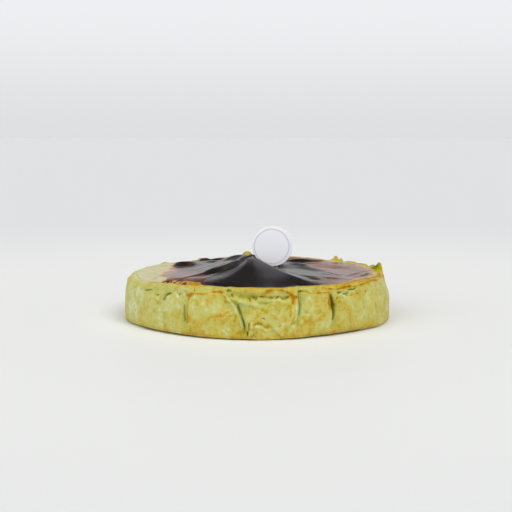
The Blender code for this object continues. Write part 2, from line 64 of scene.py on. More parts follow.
# The wall is drawn in at its foot, and leans in above LEAN_START of its height.
TOE_BEARINGS = (-180, -60, -10, 16, 28, 50, 62, 120)
TOE_INSETS = (0.7, 0.7, 0.6, 0.8, 1.6, 1.6, 0.8, 0.7)
TOE_HEIGHT = 1.1
LEAN_BEARINGS = (-180, -120, -90, -60, 0, 60, 90, 120)
LEANS = (2.2, 1.6, 1.6, 2.4, 2.4, 2.6, 4.0, 3.2)
LEAN_START = 0.35

RIM_BEARINGS = (-180, -166, -150, -105, -80, -58, -36, -18, 0, 45, 75, 105, 140, 160)
RIM_HEIGHTS = (30.5, 30.2, 29.2, 28.9, 27.8, 28.6, 30.4, RIM_HEIGHT, RIM_HEIGHT, 30.6, 29.8, 29.6, 29.8,
               30.8)
SHOULDER_WIDTHS = (2.4, 2.6, 4.4, 5.0, 9.0, 7.0, 3.0, 2.2, 2.0, 2.0, 2.4, 2.2, 2.2, 2.2)
SHOULDER_DROPS = (2.0, 2.2, 3.0, 3.6, 4.8, 4.2, 2.6, 2.2, 2.0, 2.0, 2.2, 2.0, 2.0, 2.0)

# Crags on the rim: bearing, half width, height, thickness.
CRAGS = (
    (94.5, 7.0, 4.6, 3.4),
    (104.5, 4.5, 2.3, 2.6),
    (117.0, 4.0, 1.1, 1.6),
    (126.0, 4.5, 1.0, 1.5),
    (137.4, 1.5, 2.8, 1.4),
    (133.9, 1.0, 2.2, 1.3),
    (136.0, 4.0, 1.1, 1.5),
    (184.7, 2.5, 3.5, 2.4),
    (-152.0, 3.0, 1.0, 1.6),
    (-128.0, 2.6, 0.8, 1.6),
)
# A crag this high replaces the shoulder's own width and drop by these.
CRAG_FULL = 1.5
CRAG_SHOULDER = 1.2
CRAG_DROP = 1.0

# ---- Top of the cake, as in the solid ----
PEAK = (-5.5, -7.7)
TIP_HEIGHT = 41.8
TENT_RADII = (0, 4, 9, 16, 28, 38, 48, 62, 78)
TENT = (
    # bearing from the peak, crispness of the fold, heights at TENT_RADII outside the tip
    (-130, 0.0, (41.7, 40.8, 37.8, 33.6, 31.6, 30.5, 29.8, 29.4)),
    (-95, 0.0, (41.7, 41.4, 39.0, 34.2, 31.9, 30.8, 29.6, 28.6)),
    (-75, 0.0, (41.7, 41.4, 38.9, 34.2, 32.0, 31.0, 30.1, 29.2)),
    (-54, 0.0, (41.7, 40.8, 38.6, 35.2, 33.3, 32.0, 31.3, 30.6)),
    (-38, 0.0, (41.7, 40.6, 38.7, 36.1, 34.6, 33.3, 32.1, 30.9)),
    (-24, 0.0, (41.7, 41.0, 39.5, 37.4, 35.7, 34.2, 32.8, 31.0)),
    (-7, 0.9, (41.7, 41.4, 40.7, 38.9, 37.1, 35.4, 33.2, 30.5)),
    (7, 0.0, (41.7, 41.4, 40.8, 39.0, 37.2, 35.3, 32.9, 30.2)),
    (26, 1.2, (41.7, 41.3, 40.3, 38.5, 37.0, 35.6, 33.6, 30.7)),
    (40, 0.0, (41.4, 40.2, 38.1, 35.9, 34.6, 33.5, 32.1, 30.6)),
    (60, 0.0, (40.2, 37.0, 35.1, 33.3, 32.4, 31.7, 31.0, 30.4)),
    (90, 0.0, (39.2, 35.0, 33.1, 32.1, 31.4, 30.8, 30.2, 29.9)),
    (138, 1.2, (41.6, 40.4, 37.6, 34.6, 33.2, 31.8, 30.2, 29.7)),
    (165, 0.0, (41.2, 38.8, 35.8, 32.8, 31.3, 30.6, 30.0, 29.7)),
)
SWERVE = 5.5                    # how far the face's edges bend apart towards the rim, in degrees
MOUNDS = (
    # plan position, radii along X and Y, height
    (-30.0, 48.0, 10.0, 6.0, 1.3),
    (34.0, 42.0, 12.0, 5.0, -0.8),
    (52.0, 20.0, 15.0, 6.0, 0.5),
    (44.0, -22.0, 14.0, 9.0, -0.5),
)
TOP_FOLDS = (
    # crest from left to right on the plan, height, width towards the viewer, width behind
    (((-32, -40), (-29, -38), (-25, -35.5), (-20.7, -33), (-15.5, -28.5), (-10.5, -22)), 2.0, 2.2, 18.0),
    (((-30, -43.5), (-25, -40.5), (-20.5, -38), (-15, -33.5)), -0.6, 2.4, 2.4),
    (((40, 6), (47, 15), (56, 18), (67, 20)), 0.3, 6.0, 9.0),
    (((44, 40), (52, 36), (60, 38)), 0.5, 7.0, 9.0),
    (((10, 20), (18, 24), (25, 22), (31, 14), (37, 4), (44, -8)), 1.2, 7.0, 13.0),
    (((-48, 70), (-41, 72.5), (-34, 74.5), (-26, 72)), 1.2, 4.0, 5.0),
    (((-57, 32), (-50, 36), (-41, 35)), 2.4, 9.0, 12.0),
    (((22, 60), (28, 59), (34, 58), (40, 59)), 1.6, 4.5, 9.0),
    (((63, -30), (70, -18), (75, -6), (75, 6)), 0.9, 1.3, 2.4),
    (((58, -24), (65, -12), (70, 0), (70, 10)), 0.7, 1.3, 2.4),
    (((28, -45), (38, -42), (46, -39), (54, -43)), 0.45, 3.0, 6.0),
    (((38, -19), (44, -21), (50, -20)), 0.4, 3.0, 5.0),
)
CRUST_EDGE = ((-60, -47), (-56, -52.5), (-52, -58), (-48, -62.5), (-42.5, -65), (-38, -69), (-33, -70.5))
CRUST_STEP = 1.2

# ---- Burnt skin: its edge on the plan and the edge of its black part ----
BURNT_EDGE = (
    (-59, 34), (-62, 16), (-62, 0), (-66, -12), (-66, -24), (-58, -37), (-57, -48), (-56, -55), (-53.5, -60),
    (-49.5, -64.5), (-43.5, -67), (-39, -71), (-33.5, -73), (-28, -80), (-28, -99), (0, -100), (45, -95),
    (46, -72), (54, -60), (60, -48), (69, -34), (77, -20), (80, 0), (77, 22), (70, 41), (56, 56), (46, 66),
    (38, 73), (27, 79.5), (13, 81),
    (0, 79), (-18, 78), (-27, 76), (-31, 90), (-38, 90), (-44, 74), (-50, 58), (-54, 45),
)
BLACK_EDGE = (
    (-57, 38), (-58, 26), (-50, 12), (-44, -12), (-38, -28), (-36, -44), (-30, -60), (-28, -110), (45, -110),
    (35, -70), (34, -44), (42, -26), (40, -6), (34, 14), (28, 36), (40, 52), (44, 66), (24, 80), (-20, 90),
    (-36, 70), (-46, 52),
)
# Reddish places in the skin: plan position, radii along X and Y, strength.
RUSSET_PATCHES = (
    (41, 43, 6, 12, 1.4), (46, 32, 7, 14, 2.0), (52, 20, 7, 13, 2.0), (61, 14, 8, 11, 1.1),
    (43, 14, 8, 11, 1.6), (70, -4, 5, 14, 0.5), (51, 56, 9, 10, 0.7), (30, 78, 16, 12, 3.0),
    (46, 68, 9, 9, 2.0), (-56, -38, 4, 9, 0.7), (-59, 26, 3, 9, 0.9), (-47, 16, 4, 8, 0.6),
    (-52, 2, 4, 8, 0.4), (60, -44, 6, 8, 0.4), (50, -54, 6, 6, 0.4), (-34, -47, 5, 3, 0.9),
    (-20, -36, 3, 3, 0.5),
)
# Places where the skin is dull, likewise.
DULL_PATCHES = (
    (30, 58, 9, 9, 2.6), (38, 58, 8, 8, 2.2), (28, 40, 6, 12, 1.3), (27, 24, 6, 14, 1.5),
    (31, 12, 5, 10, 1.0), (35, -50, 7, 13, 1.1), (46, -46, 9, 12, 1.1), (-20, -10, 14, 12, 0.35),
    (36, -62, 9, 8, 0.5), (47, -52, 8, 6, 0.4), (41, -4, 7, 10, 0.4), (-50, 29, 10, 13, 2.0),
    (-42, 20, 7, 7, 0.7), (-33, 70, 17, 9, 1.8), (-25, -38, 9, 4, 0.8), (-40, 8, 12, 8, 0.2),
)
# Paler, pinkish places in the skin, partly a painted sheen where the skin reflects the light, likewise.
BLUSH_AND_SHEEN_PATCHES = (
    (-43, -42, 8, 11, 1.0), (-49, -22, 7, 12, 0.9), (-52, 4, 5, 10, 0.5), (-60, -22, 6, 12, 0.6),
    (64, -12, 8, 18, 0.6), (57, -42, 10, 12, 0.7), (70, 14, 6, 14, 0.6), (50, -62, 8, 8, 0.5),
    (60, 34, 8, 12, 0.4),
)
# Painted sheen: grey over the black skin round the peak, where it reflects the light, likewise.
PAINTED_SHEEN_PATCHES = ((-13, -17, 10, 7, 1.0), (-8, -25, 7, 8, 0.8), (-19, -30, 8, 6, 0.5))

# How far inside its edge the skin turns brown, by bearing.
BROWNING_BEARINGS = (-180, -140, -118, -100, -82, -62, -52, -22, 44, 66, 90, 140, 165)
BROWNING_RUNS = (2.0, 3.0, 5.0, 12.0, 15.0, 8.0, 1.2, 1.2, 1.2, 5.0, 9.0, 6.0, 3.0)
BLACK_SOFTNESS = 9.0            # width of the border between the brown and the black skin
RUSSET_BURN = 0.40              # how burnt the reddish places and the paler places with their painted sheen are
BLUSH_AND_SHEEN_BURN = 0.36
FULLY_SUNK = 0.55               # depth below the smoothed wall at which the painted shade is darkest
FULLY_RAISED = 0.45             # height above it that is browned most
BLUR_PASSES = 9                 # smoothing of the wall that its relief is measured against
BASE_ROWS = 3                   # rows at the foot that stay out of the relief's shading

# ---- Mesh density ----
COLUMNS = 720
FRONT_DENSITY = 0.45            # how much closer together the columns stand at the front
FOLD_DENSITY = 2.2              # and beside a fold, within a span in degrees
FOLD_SPAN = 1.8
FOLLOW_SPAN = 8.0               # degrees over which the columns slant to run along a fold
WALL_ROWS = 64
SHOULDER_ROWS = 8
TOP_ROWS = 62
TOP_CROWDING = 1.2              # above 1, the top's rows stand closer together at the rim


# ---- Small functions ----
def ease(value):
    t = np.clip(value, 0.0, 1.0)
    return t * t * (3.0 - 2.0 * t)


def window(value, low, high, soft):
    """1 from low to high, falling to 0 over soft beyond them."""
    return ease((value - low) / soft + 1.0) * ease((high - value) / soft + 1.0)


def bell(value, width):
    return np.exp(-(value / width) ** 2)


def oval(x, y, middle_x, middle_y, run_x, run_y):
    """1 in the middle of an oval on the plan, falling softly to 0."""
    return np.exp(-((x - middle_x) / run_x) ** 2 - ((y - middle_y) / run_y) ** 2)


def hermite(t, start, end, slope_in, slope_out):
    """Smooth curve from start to end as t goes from 0 to 1, with its slopes at both ends."""
    ends = (2 * t**3 - 3 * t**2 + 1) * start + (3 * t**2 - 2 * t**3) * end
    return ends + (t**3 - 2 * t**2 + t) * slope_in + (t**3 - t**2) * slope_out


def wrap(bearing):
    return (np.asarray(bearing, float) + 180.0) % 360.0 - 180.0


def round_table(bearing, bearings, values):
    """Smooth periodic curve through values given at rising bearings."""
    b = np.asarray(bearing, float)
    knots = np.array(list(bearings) + [bearings[0] + 360.0])
    levels = np.array(list(values) + [values[0]])
    b = (b - knots[0]) % 360.0 + knots[0]
    index = np.clip(np.searchsorted(knots, b, side="right") - 1, 0, len(knots) - 2)
    t = (b - knots[index]) / (knots[index + 1] - knots[index])
    return levels[index] + (levels[index + 1] - levels[index]) * ease(t)


def rough(points, size, seed):
    """Soft noise between about -1 and 1 at 3D points, with lumps of the given size."""
    shift = Vector((seed * 7.31, seed * 3.17, seed * 5.73))
    flat = points.reshape(-1, 3) / size
    return np.array([noise.noise(Vector(p) + shift) for p in flat]).reshape(points.shape[:-1])


def ring(bearing, radius, height):
    """Points round the cake's axis."""
    angle = np.radians(bearing)
    return np.stack([radius * np.sin(angle), -radius * np.cos(angle), height + angle * 0.0], axis=-1)


def beside(x, y, path):
    """Distance from a path, positive on its right, and the share of it passed at the nearest point."""
    corners = np.array(path, float)
    runs = np.hypot(*(corners[1:] - corners[:-1]).T)
    passed = np.concatenate([[0.0], np.cumsum(runs)])
    best = np.full(x.shape, 1e9)
    side = np.ones(x.shape)
    share = np.zeros(x.shape)
    for (ax, ay), (bx, by), run, before in zip(corners, corners[1:], runs, passed):
        ux, uy = (bx - ax) / run, (by - ay) / run
        along = np.clip((x - ax) * ux + (y - ay) * uy, 0.0, run)
        away = np.hypot(x - ax - along * ux, y - ay - along * uy)
        closer = away < best
        share = np.where(closer, (before + along) / passed[-1], share)
        side = np.where(closer, np.sign(uy * (x - ax) - ux * (y - ay)), side)
        best = np.minimum(best, away)
    return best * side, share


# ---- Relief of the wall, as in the solid ----
EDGE = 0.7                      # how softly a flap's edge steps down


def upright(bearing, height, path, fade=1.5):
    """Distance along the wall from a crease given from foot to head, and its reach 0 to 1."""
    heights = [point[1] for point in path]
    turns = [wrap(point[0] - path[0][0]) for point in path]
    offset = wrap(bearing - path[0][0] - np.interp(height, heights, turns)) * ARC
    return offset, window(height, heights[0], heights[-1], fade)


def level(bearing, height, path, fade=1.5):
    """Height above a crease that runs along the wall, and its reach 0 to 1."""
    bearings, heights = zip(*path)
    offset = height - np.interp(bearing, bearings, heights)
    return offset, window(bearing, bearings[0], bearings[-1], fade / ARC)


def flap_edge(bearing, height, path, side, drop, run):
    """The wall beyond a flap's edge lies lower by drop and comes back over run; side is where it is."""
    offset, reach = upright(bearing, height, path)
    beyond = offset * side
    lip = 0.7 * bell(beyond + 1.2, 1.5)
    return reach * (lip - drop * ease(beyond / EDGE + 0.5) * np.exp(-np.clip(beyond, 0, None) / run))


# Paths of (bearing, height) along the wall's main folds.
FLAP_A_LEFT = ((-28.7, 4.0), (-29.2, 27.0))
FLAP_A_GROOVE = ((-30.5, 5.0), (-30.4, 12.0), (-30.0, 20.0))
FLAP_A_RIGHT = ((-5.0, 6.0), (-5.9, 10.0), (-6.8, 14.0), (-7.8, 17.0), (-8.7, 19.5), (-9.8, 22.0),
                (-11.2, 24.0), (-12.3, 27.0), (-12.8, 30.0))
BIG_FOLD = ((13.8, 4.0), (14.2, 9.5), (15.0, 14.0), (15.8, 19.0), (16.0, 23.5), (16.1, 28.0))
SLIT = ((31.4, 6.0), (31.9, 10.5), (32.6, 13.6), (33.1, 16.5), (32.8, 19.0), (32.2, 22.2), (31.4, 26.0))
BROW = ((3.0, 28.5), (5.0, 29.4), (7.8, 29.9), (10.1, 29.4), (12.1, 28.3), (13.7, 27.0), (15.4, 25.7))
TORN_LINE = ((-1.6, 25.6), (1.2, 25.6), (4.0, 25.4), (6.5, 25.0), (8.8, 25.4), (10.6, 24.5), (12.6, 25.2))
# The top edges of flaps A and B stand out under the rim: from, to, height.
FLAP_TOPS = ((-29.0, -13.0, 27.2), (17.6, 31.2, 27.0))
BACK_START, BACK_END = 124.0, 258.0


def back_folds():
    """Folds of the side away from the viewer: path, side, drop and run."""
    draw = np.random.default_rng(11)
    folds = []
    middle = BACK_START
    while middle < BACK_END:
        slant = draw.uniform(-5.0, 5.0)
        foot = (wrap(middle - slant), draw.uniform(2.0, 9.0))
        waist = (wrap(middle + draw.uniform(-2.0, 2.0)), draw.uniform(13.0, 18.0))
        head = (wrap(middle + slant), draw.uniform(22.0, 28.0))
        path = (foot, waist, head)
        folds.append((path, draw.choice((-1.0, 1.0)), draw.uniform(0.8, 2.4), draw.uniform(5.0, 12.0)))
        middle += draw.uniform(13.0, 36.0)
    return folds


BACK_FOLDS = back_folds()


# Plain creases: how they run, path, fade at the ends, and each ridge's height, offset and half width.
CREASES = (
    # the slanting trough between flap A and the brow, with a shelf under it
    (level, ((-10.0, 27.4), (-1.0, 24.2)), 4.0, ((-1.5, 0.0, 2.2), (1.1, -3.4, 1.6))),
    # brow: the rim bulges over a torn line
    (level, BROW, 1.5, ((1.0, 0.0, 0.9),)),
    (level, TORN_LINE, 1.5, ((-0.8, 0.0, 1.1), (0.8, -2.3, 1.6))),
    # cracks on the left shoulder
    (upright, ((-42.9, 20.5), (-41.8, 22.2), (-41.0, 23.7), (-39.0, 24.8)), 1.0, ((-1.2, 0.0, 1.0),)),
    (level, ((-56.5, 23.8), (-53.4, 24.7), (-50.0, 26.6)), 1.5, ((-0.9, 0.0, 0.7),)),
    # the small flap standing on the base, and the creases round it
    (upright, ((-3.1, 0.0), (-2.2, 5.5), (-1.9, 9.6)), 1.5, ((1.3, 0.0, 1.1), (-1.0, -2.0, 0.9))),
    (level, ((-1.6, 9.2), (0.0, 10.0), (1.6, 9.5), (3.0, 7.6)), 1.5, ((-1.0, 0.0, 0.8), (0.6, -1.8, 1.0))),
    (upright, ((10.2, 2.3), (8.4, 4.0), (7.4, 6.0), (6.0, 8.2)), 1.5, ((0.8, 0.0, 0.9), (-0.5, -1.6, 0.8))),
)


def flap_a(bearing, height):
    """Flap A: its left edge stands out of a groove, its slanting right edge hangs over a hollow."""
    offset, reach = upright(bearing, height, FLAP_A_LEFT)
    out = 0.9 * reach * ease(offset / EDGE + 0.5) * np.exp(-np.clip(offset, 0, None) / 7.0)
    offset, reach = upright(bearing, height, FLAP_A_GROOVE, 4.0)
    out -= (0.4 + 0.7 * bell(height - 12.5, 5.0)) * bell(offset, 1.5) * reach
    offset, reach = upright(bearing, height, FLAP_A_RIGHT)
    hollow = 1.5 + 11.0 * ease((height - 7.0) / 18.0)
    drop = 2.8 * window(height, 9.0, 20.0, 8.0)
    out -= drop * ease(offset / EDGE + 0.5) * np.exp(-(np.clip(offset, 0, None) / hollow) ** 1.6)
    return out + 0.8 * reach * bell(offset + 1.0, 1.6)


def big_fold(bearing, height):
    """The big fold: a ridge with a groove on its right."""
    offset, reach = upright(bearing, height, BIG_FOLD)
    depth = 0.5 + 1.3 * ease((height - 8.0) / 14.0)
    groove = bell(offset - 2.4, 1.7) + 0.6 * bell(offset - 5.0, 3.4)
    return reach * (0.9 * bell(offset, 1.1) - depth * groove)


def dark_slit(bearing, height):
    """The dark slit on the right of flap B, and its raised left lip."""
    offset, reach = upright(bearing, height, SLIT, 3.0)
    gape = 0.9 + 0.8 * bell(height - 17.5, 4.0)
    depth = 0.5 + 3.6 * bell(height - 18.0, 5.5)
    return reach * (0.6 * bell(offset + 2.2, 1.6) - depth * bell(offset, gape))


def front_relief(bearing, height):
    """Folds, flaps and cracks of the wall that faces the viewer."""
    out = flap_a(bearing, height) + big_fold(bearing, height) + dark_slit(bearing, height)
    for left, right, edge in FLAP_TOPS:
        below = edge - height
        standing = ease(below / EDGE + 0.5) * np.exp(-np.clip(below, 0, None) / 5.0)
        out += 0.6 * window(bearing, left, right, 1.0) * standing
    for run, path, fade, ridges in CREASES:
        offset, reach = run(bearing, height, path, fade)
        for tall, middle, width in ridges:
            out += tall * bell(offset - middle, width) * reach
    return out


def pleats(bearing, place):
    """Upright creases of the right end."""
    reach = window(bearing, 50.0, 125.0, 14.0)
    return 0.45 * reach * rough(place * (1.0, 1.0, 0.09), 4.2, 7)


# ---- Finer relief that only the shown surface has ----
# Marks in the wall: path of (bearing, height), half width, height out of the wall.
MARKS = (
    (((-42.9, 20.5), (-41.8, 22.1), (-41.1, 23.7), (-39.7, 24.7), (-38.4, 24.8)), 0.55, -0.9),
    (((-41.0, 21.6), (-40.2, 22.8), (-38.8, 23.3)), 0.7, 0.6),
    (((-56.4, 23.9), (-54.6, 24.5), (-53.0, 24.8)), 0.7, -0.9),
    (((-53.0, 24.7), (-51.6, 25.6), (-50.6, 26.6)), 0.5, -0.7),
    (((-68.0, 28.4), (-66.8, 28.2)), 0.8, -0.9),
    (((-63.0, 27.2), (-60.4, 26.2), (-58.4, 25.6)), 0.5, -0.6),
    (((-42.0, 29.4), (-41.4, 27.8)), 0.7, -0.6),
    (((-47.6, 22.6), (-45.6, 22.9)), 0.6, -0.5),
    (((-50.0, 21.0), (-46.8, 20.2), (-44.8, 19.0)), 0.8, 0.35),
    (((-36.5, 24.0), (-34.5, 22.6), (-33.0, 20.4)), 0.8, 0.4),
    (((-37.0, 26.6), (-34.0, 25.4), (-31.6, 24.6)), 0.9, -0.35),
    (((-45.9, 18.8), (-45.6, 17.0)), 0.6, -0.5),
    (((-43.9, 13.6), (-43.4, 11.6)), 0.6, -0.6),
    (((-26.6, 28.9), (-26.2, 27.2)), 0.6, -0.6),
    (((-12.4, 29.8), (-11.6, 29.2), (-10.7, 28.6)), 0.8, -1.4),
    (((-10.3, 27.0), (-9.6, 24.6)), 0.6, -0.4),
    (((-7.9, 20.8), (-7.2, 18.2), (-6.7, 15.6)), 0.7, -0.8),
    (((-5.8, 12.2), (-5.0, 7.6)), 0.7, -0.9),
    (((-1.8, 25.8), (-1.0, 24.9), (-0.3, 24.0)), 0.6, -1.2),
    (((1.0, 25.7), (2.3, 25.7), (3.7, 25.5)), 0.4, -0.8),
    (((4.3, 25.2), (4.7, 24.9)), 0.6, -0.9),
    (((5.6, 25.2), (6.4, 25.2)), 0.6, -1.2),
    (((7.4, 24.5), (8.1, 25.3), (8.9, 26.3)), 0.5, -1.2),
    (((9.8, 24.6), (10.1, 24.6)), 0.6, -0.9),
    (((10.6, 24.1), (11.4, 24.4), (12.4, 25.3)), 0.6, -1.4),
    (((4.6, 24.0), (7.0, 23.8), (8.4, 24.2)), 0.6, 0.5),
    (((0.2, 22.5), (2.3, 21.9), (4.0, 21.8), (5.2, 22.7), (7.6, 23.4)), 0.5, -0.3),
    (((-6.2, 22.6), (-3.9, 22.0), (-1.9, 21.2), (-0.2, 19.9)), 0.9, 0.5),
    (((-0.8, 18.2), (0.8, 17.3), (4.0, 15.6)), 0.6, 0.3),
    (((1.6, 13.4), (3.4, 12.6)), 0.5, -0.5),
    (((3.6, 12.0), (6.4, 11.2), (8.6, 10.4)), 0.8, 0.3),
    (((-3.6, 5.4), (-3.5, 1.4)), 0.5, -1.0),
    (((-2.8, 1.8), (-1.5, 3.2), (-0.2, 1.6)), 0.5, -0.7),
    (((-1.3, 7.8), (-0.9, 6.9)), 0.7, -0.8),
    (((33.3, 18.8), (33.5, 17.7)), 0.8, -1.0),
    (((42.2, 26.6), (43.6, 26.8), (45.0, 26.5), (47.2, 27.2)), 0.6, -1.1),
    (((38.4, 24.9), (40.2, 24.5), (42.4, 25.1)), 0.6, -0.8),
    (((35.2, 26.1), (36.6, 25.6), (38.2, 25.6)), 0.6, -0.6),
    (((34.0, 20.6), (34.8, 22.2), (36.2, 23.5)), 0.7, -0.5),
    (((37.6, 22.8), (39.4, 22.3)), 0.9, 0.6),
    (((40.2, 20.2), (41.6, 19.8)), 0.9, 0.4),
    (((34.6, 21.7), (36.9, 20.9)), 0.7, 0.5),
    (((36.6, 24.4), (38.6, 23.6)), 0.5, 0.4),
    (((39.8, 23.6), (42.0, 23.2)), 0.6, -0.4),
    (((43.2, 24.2), (45.6, 23.4)), 0.7, 0.4),
    (((49.6, 25.6), (50.2, 22.0)), 0.8, 0.3),
)


def nearest(bearing, height, path):
    """Distance in mm from a path of (bearing, height) points, and the share of it passed."""
    start = path[0][0]
    corners = [((b - start) * ARC, h) for b, h in path]
    offset, share = beside(wrap(bearing - start) * ARC, height, corners)
    return np.abs(offset), share


def marks(bearing, height):
    """Small cracks, pits and ridges, thin at their ends."""
    place = ring(bearing, RADIUS, height)
    bearing = bearing + 0.5 * rough(place, 2.6, 18) / ARC
    height = height + 0.5 * rough(place, 2.6, 19)
    out = np.zeros_like(height)
    for path, width, depth in MARKS:
        near = np.abs(wrap(bearing - path[0][0])) < 12.0
        away, share = nearest(bearing[near], height[near], path)
        taper = 0.55 + 0.45 * np.sin(np.pi * share)
        out[near] += depth * taper * bell(away, width * taper)
    return out


def fine_relief(bearing, height, place):
    """Lumps, upright streaks, creases and small marks."""
    out = 0.20 * rough(place * (1.0, 1.0, 0.8), 6.0, 11) + 0.13 * rough(place, 3.0, 12)
    out += 0.16 * rough(place * (1.0, 1.0, 0.2), 2.6, 13)
    creased = 1.0 - 2.2 * np.abs(rough(place * (1.0, 1.0, 0.6), 7.0, 15) + 0.35 * rough(place, 3.0, 16))
    out -= 0.28 * np.clip(creased, 0.0, 1.0) ** 4 * ease(rough(place, 18.0, 17) * 2.0 + 0.6)
    # ragged under the rim, and wrinkled where the wall meets the base
    ragged = window(bearing, -75.0, -28.0, 8.0) + window(bearing, 33.0, 64.0, 5.0)
    ragged = ragged * window(height, 23.5, 31.0, 3.0)
    out -= 0.55 * ragged * np.clip(np.abs(rough(place * (0.7, 0.7, 1.0), 3.2, 22)) * 2.4 - 0.55, 0.0, 1.0)
    wrinkled = window(bearing, -13.0, -5.0, 3.0) * window(height, 2.0, 7.0, 2.5)
    out += 0.7 * wrinkled * rough(place * (1.0, 1.0, 0.4), 2.4, 23)
    return out + marks(bearing, height)


def wall_radius(bearing, height, crest):
    """Radius of the wall at each bearing and height, with all its relief."""
    b = wrap(bearing)
    share = np.clip(height / crest, 0.0, 1.2)
    lean = round_table(b, LEAN_BEARINGS, LEANS)
    plain = RADIUS - round_table(b, PLAN_BEARINGS, PLAN_INSETS)
    plain -= lean * ease((share - LEAN_START) / (1.0 - LEAN_START)) ** 1.3
    toe = round_table(b, TOE_BEARINGS, TOE_INSETS)
    lift = round_table(b, LIFT_BEARINGS, LIFTS)
    plain -= toe * np.exp(-np.clip(height - lift, 0.0, None) / (TOE_HEIGHT * (0.4 + 0.5 * toe)))
    place = ring(b, RADIUS, height)
    waves = 0.45 * rough(place * (1.0, 1.0, 0.6), 34.0, 1) + 0.35 * rough(place * (1.0, 1.0, 0.7), 11.0, 2)
    wandered = b + 0.6 * rough(place, 9.0, 5) / ARC
    raised = height + 0.6 * rough(place, 9.0, 6)
    folds = front_relief(wandered, raised) + pleats(b, place)
    for path, side, drop, run in BACK_FOLDS:
        folds = folds + flap_edge(wandered, raised, path, side, drop, run)
    folds += fine_relief(b, height, place)
    return plain + waves + folds * window(height, 2.0, 60.0, 2.0)


# ---- Rim, as in the solid ----
def crag_height(bearing):
    """Height and thickness of the crags at each bearing."""
    total = np.zeros_like(bearing)
    thickness = np.full_like(bearing, 3.0)
    for centre, half_width, tall, thick in CRAGS:
        part = tall * np.exp(-np.abs(wrap(bearing - centre) / half_width) ** 4)
        thickness = np.where(part > total, thick, thickness)
        total = np.maximum(total, part)
    return total * (1.0 + 0.3 * rough(ring(bearing, RADIUS, 0.0), 4.0, 8)), thickness


def rim(bearing):
    """Crest height, shoulder width and drop, and crag height and thickness at each bearing."""
    crest = round_table(bearing, RIM_BEARINGS, RIM_HEIGHTS)
    width = round_table(bearing, RIM_BEARINGS, SHOULDER_WIDTHS)
    drop = round_table(bearing, RIM_BEARINGS, SHOULDER_DROPS)
    crest = crest + 0.35 * rough(ring(bearing, RADIUS, 0.0), 9.0, 3)
    crag, thick = crag_height(bearing)
    return crest, width, drop, crag, thick


# ---- Top, as in the solid, with finer wrinkles ----
def from_peak(x, y):
    """Distance and bearing from the peak on the plan."""
    dx, dy = x - PEAK[0], y - PEAK[1]
    return np.hypot(dx, dy), np.degrees(np.arctan2(dx, -dy))


def radial_curve(away, heights):
    """Smooth curve through heights at TENT_RADII, level at the peak."""
    radii = np.array(TENT_RADII, float)
    heights = np.array(heights, float)
    slopes = np.gradient(heights, radii)
    slopes[0] = 0.0
    r = np.clip(away, 0.0, radii[-1])
    index = np.clip(np.searchsorted(radii, r, side="right") - 1, 0, len(radii) - 2)
    span = radii[index + 1] - radii[index]
    t = (r - radii[index]) / span
    return hermite(t, heights[index], heights[index + 1], span * slopes[index], span * slopes[index + 1])


def tent(x, y):
    """Height of the top: one radial curve for each fold and hollow, blended round the peak."""
    away, bearing = from_peak(x, y)
    order = np.array([line[0] for line in TENT] + [TENT[0][0] + 360.0])
    crisp = np.array([line[1] for line in TENT] + [TENT[0][1]])
    curves = np.array([radial_curve(away, (TIP_HEIGHT,) + line[2]) for line in TENT])
    curves = np.concatenate([curves, curves[:1]])
    right = bell(bearing - 30.0, 18.0) * ease((away - 26.0) / 46.0)
    left = bell(bearing + 8.0, 18.0) * (ease((away - 16.0) / 50.0) * 2.4 - 1.0)
    bearing = bearing - SWERVE * (right - left)
    b = (bearing - order[0]) % 360.0 + order[0]
    index = np.clip(np.searchsorted(order, b, side="right") - 1, 0, len(order) - 2)
    t = (b - order[index]) / (order[index + 1] - order[index])
    blend = hermite(t, 0.0, 1.0, crisp[index], crisp[index + 1])
    column = np.arange(len(b))
    return curves[index, column] * (1.0 - blend) + curves[index + 1, column] * blend


def top_folds(x, y):
    """The skin's own folds, steeper on the side that faces the viewer."""
    out = np.zeros_like(x)
    for path, tall, front, behind in TOP_FOLDS:
        offset, share = beside(x, y, path)
        taper = np.sin(np.pi * (0.12 + 0.76 * share))
        out += tall * taper * np.where(offset > 0.0, bell(offset, front), bell(offset, behind))
    return out


def top_height(x, y):
    """Height of the top with its folds, wrinkles and the step at the crust edge."""
    height = tent(x, y) + top_folds(x, y)
    for *shape, tall in MOUNDS:
        height = height + tall * oval(x, y, *shape)
    place = np.stack([x, y, x * 0.0], axis=-1)
    bearing = from_peak(x, y)[1]
    calm = 1.0 - 0.75 * window(bearing, -22.0, 34.0, 6.0)
    height = height + calm * 0.20 * rough(place * (0.6, 1.0, 1.0), 12.0, 4)
    height = height + calm * 0.07 * rough(place * (0.45, 1.0, 1.0), 3.6, 21)
    offset, share = beside(x, y, CRUST_EDGE)
    taper = np.sin(np.pi * np.clip(share, 0.02, 0.98)) ** 0.5
    step = np.where(offset > 0.0, bell(offset, 1.5), bell(offset, 9.0))
    return height + CRUST_STEP * taper * (step - 0.3 * bell(offset - 2.6, 1.2))


def inside(x, y, outline):
    """How far inside an outline on the plan a point lies, in mm, negative outside it."""
    corners = np.array(outline, float)
    away = np.full_like(x, 1e9)
    within = np.zeros(x.shape, bool)
    for (ax, ay), (bx, by) in zip(corners, np.roll(corners, -1, axis=0)):
        dx, dy = bx - ax, by - ay
        t = np.clip(((x - ax) * dx + (y - ay) * dy) / (dx * dx + dy * dy), 0.0, 1.0)
        away = np.minimum(away, np.hypot(x - ax - t * dx, y - ay - t * dy))
        crosses = (ay > y) != (by > y)
        within ^= crosses & (x < ax + (y - ay) / np.where(by == ay, 1.0, by - ay) * dx)
    return np.where(within, away, -away)


# ---- Cake surface ----
def tall_folds():
    """Paths of the upright folds, which the mesh columns follow."""
    return [FLAP_A_LEFT, FLAP_A_RIGHT, BIG_FOLD, SLIT] + [fold[0] for fold in BACK_FOLDS]


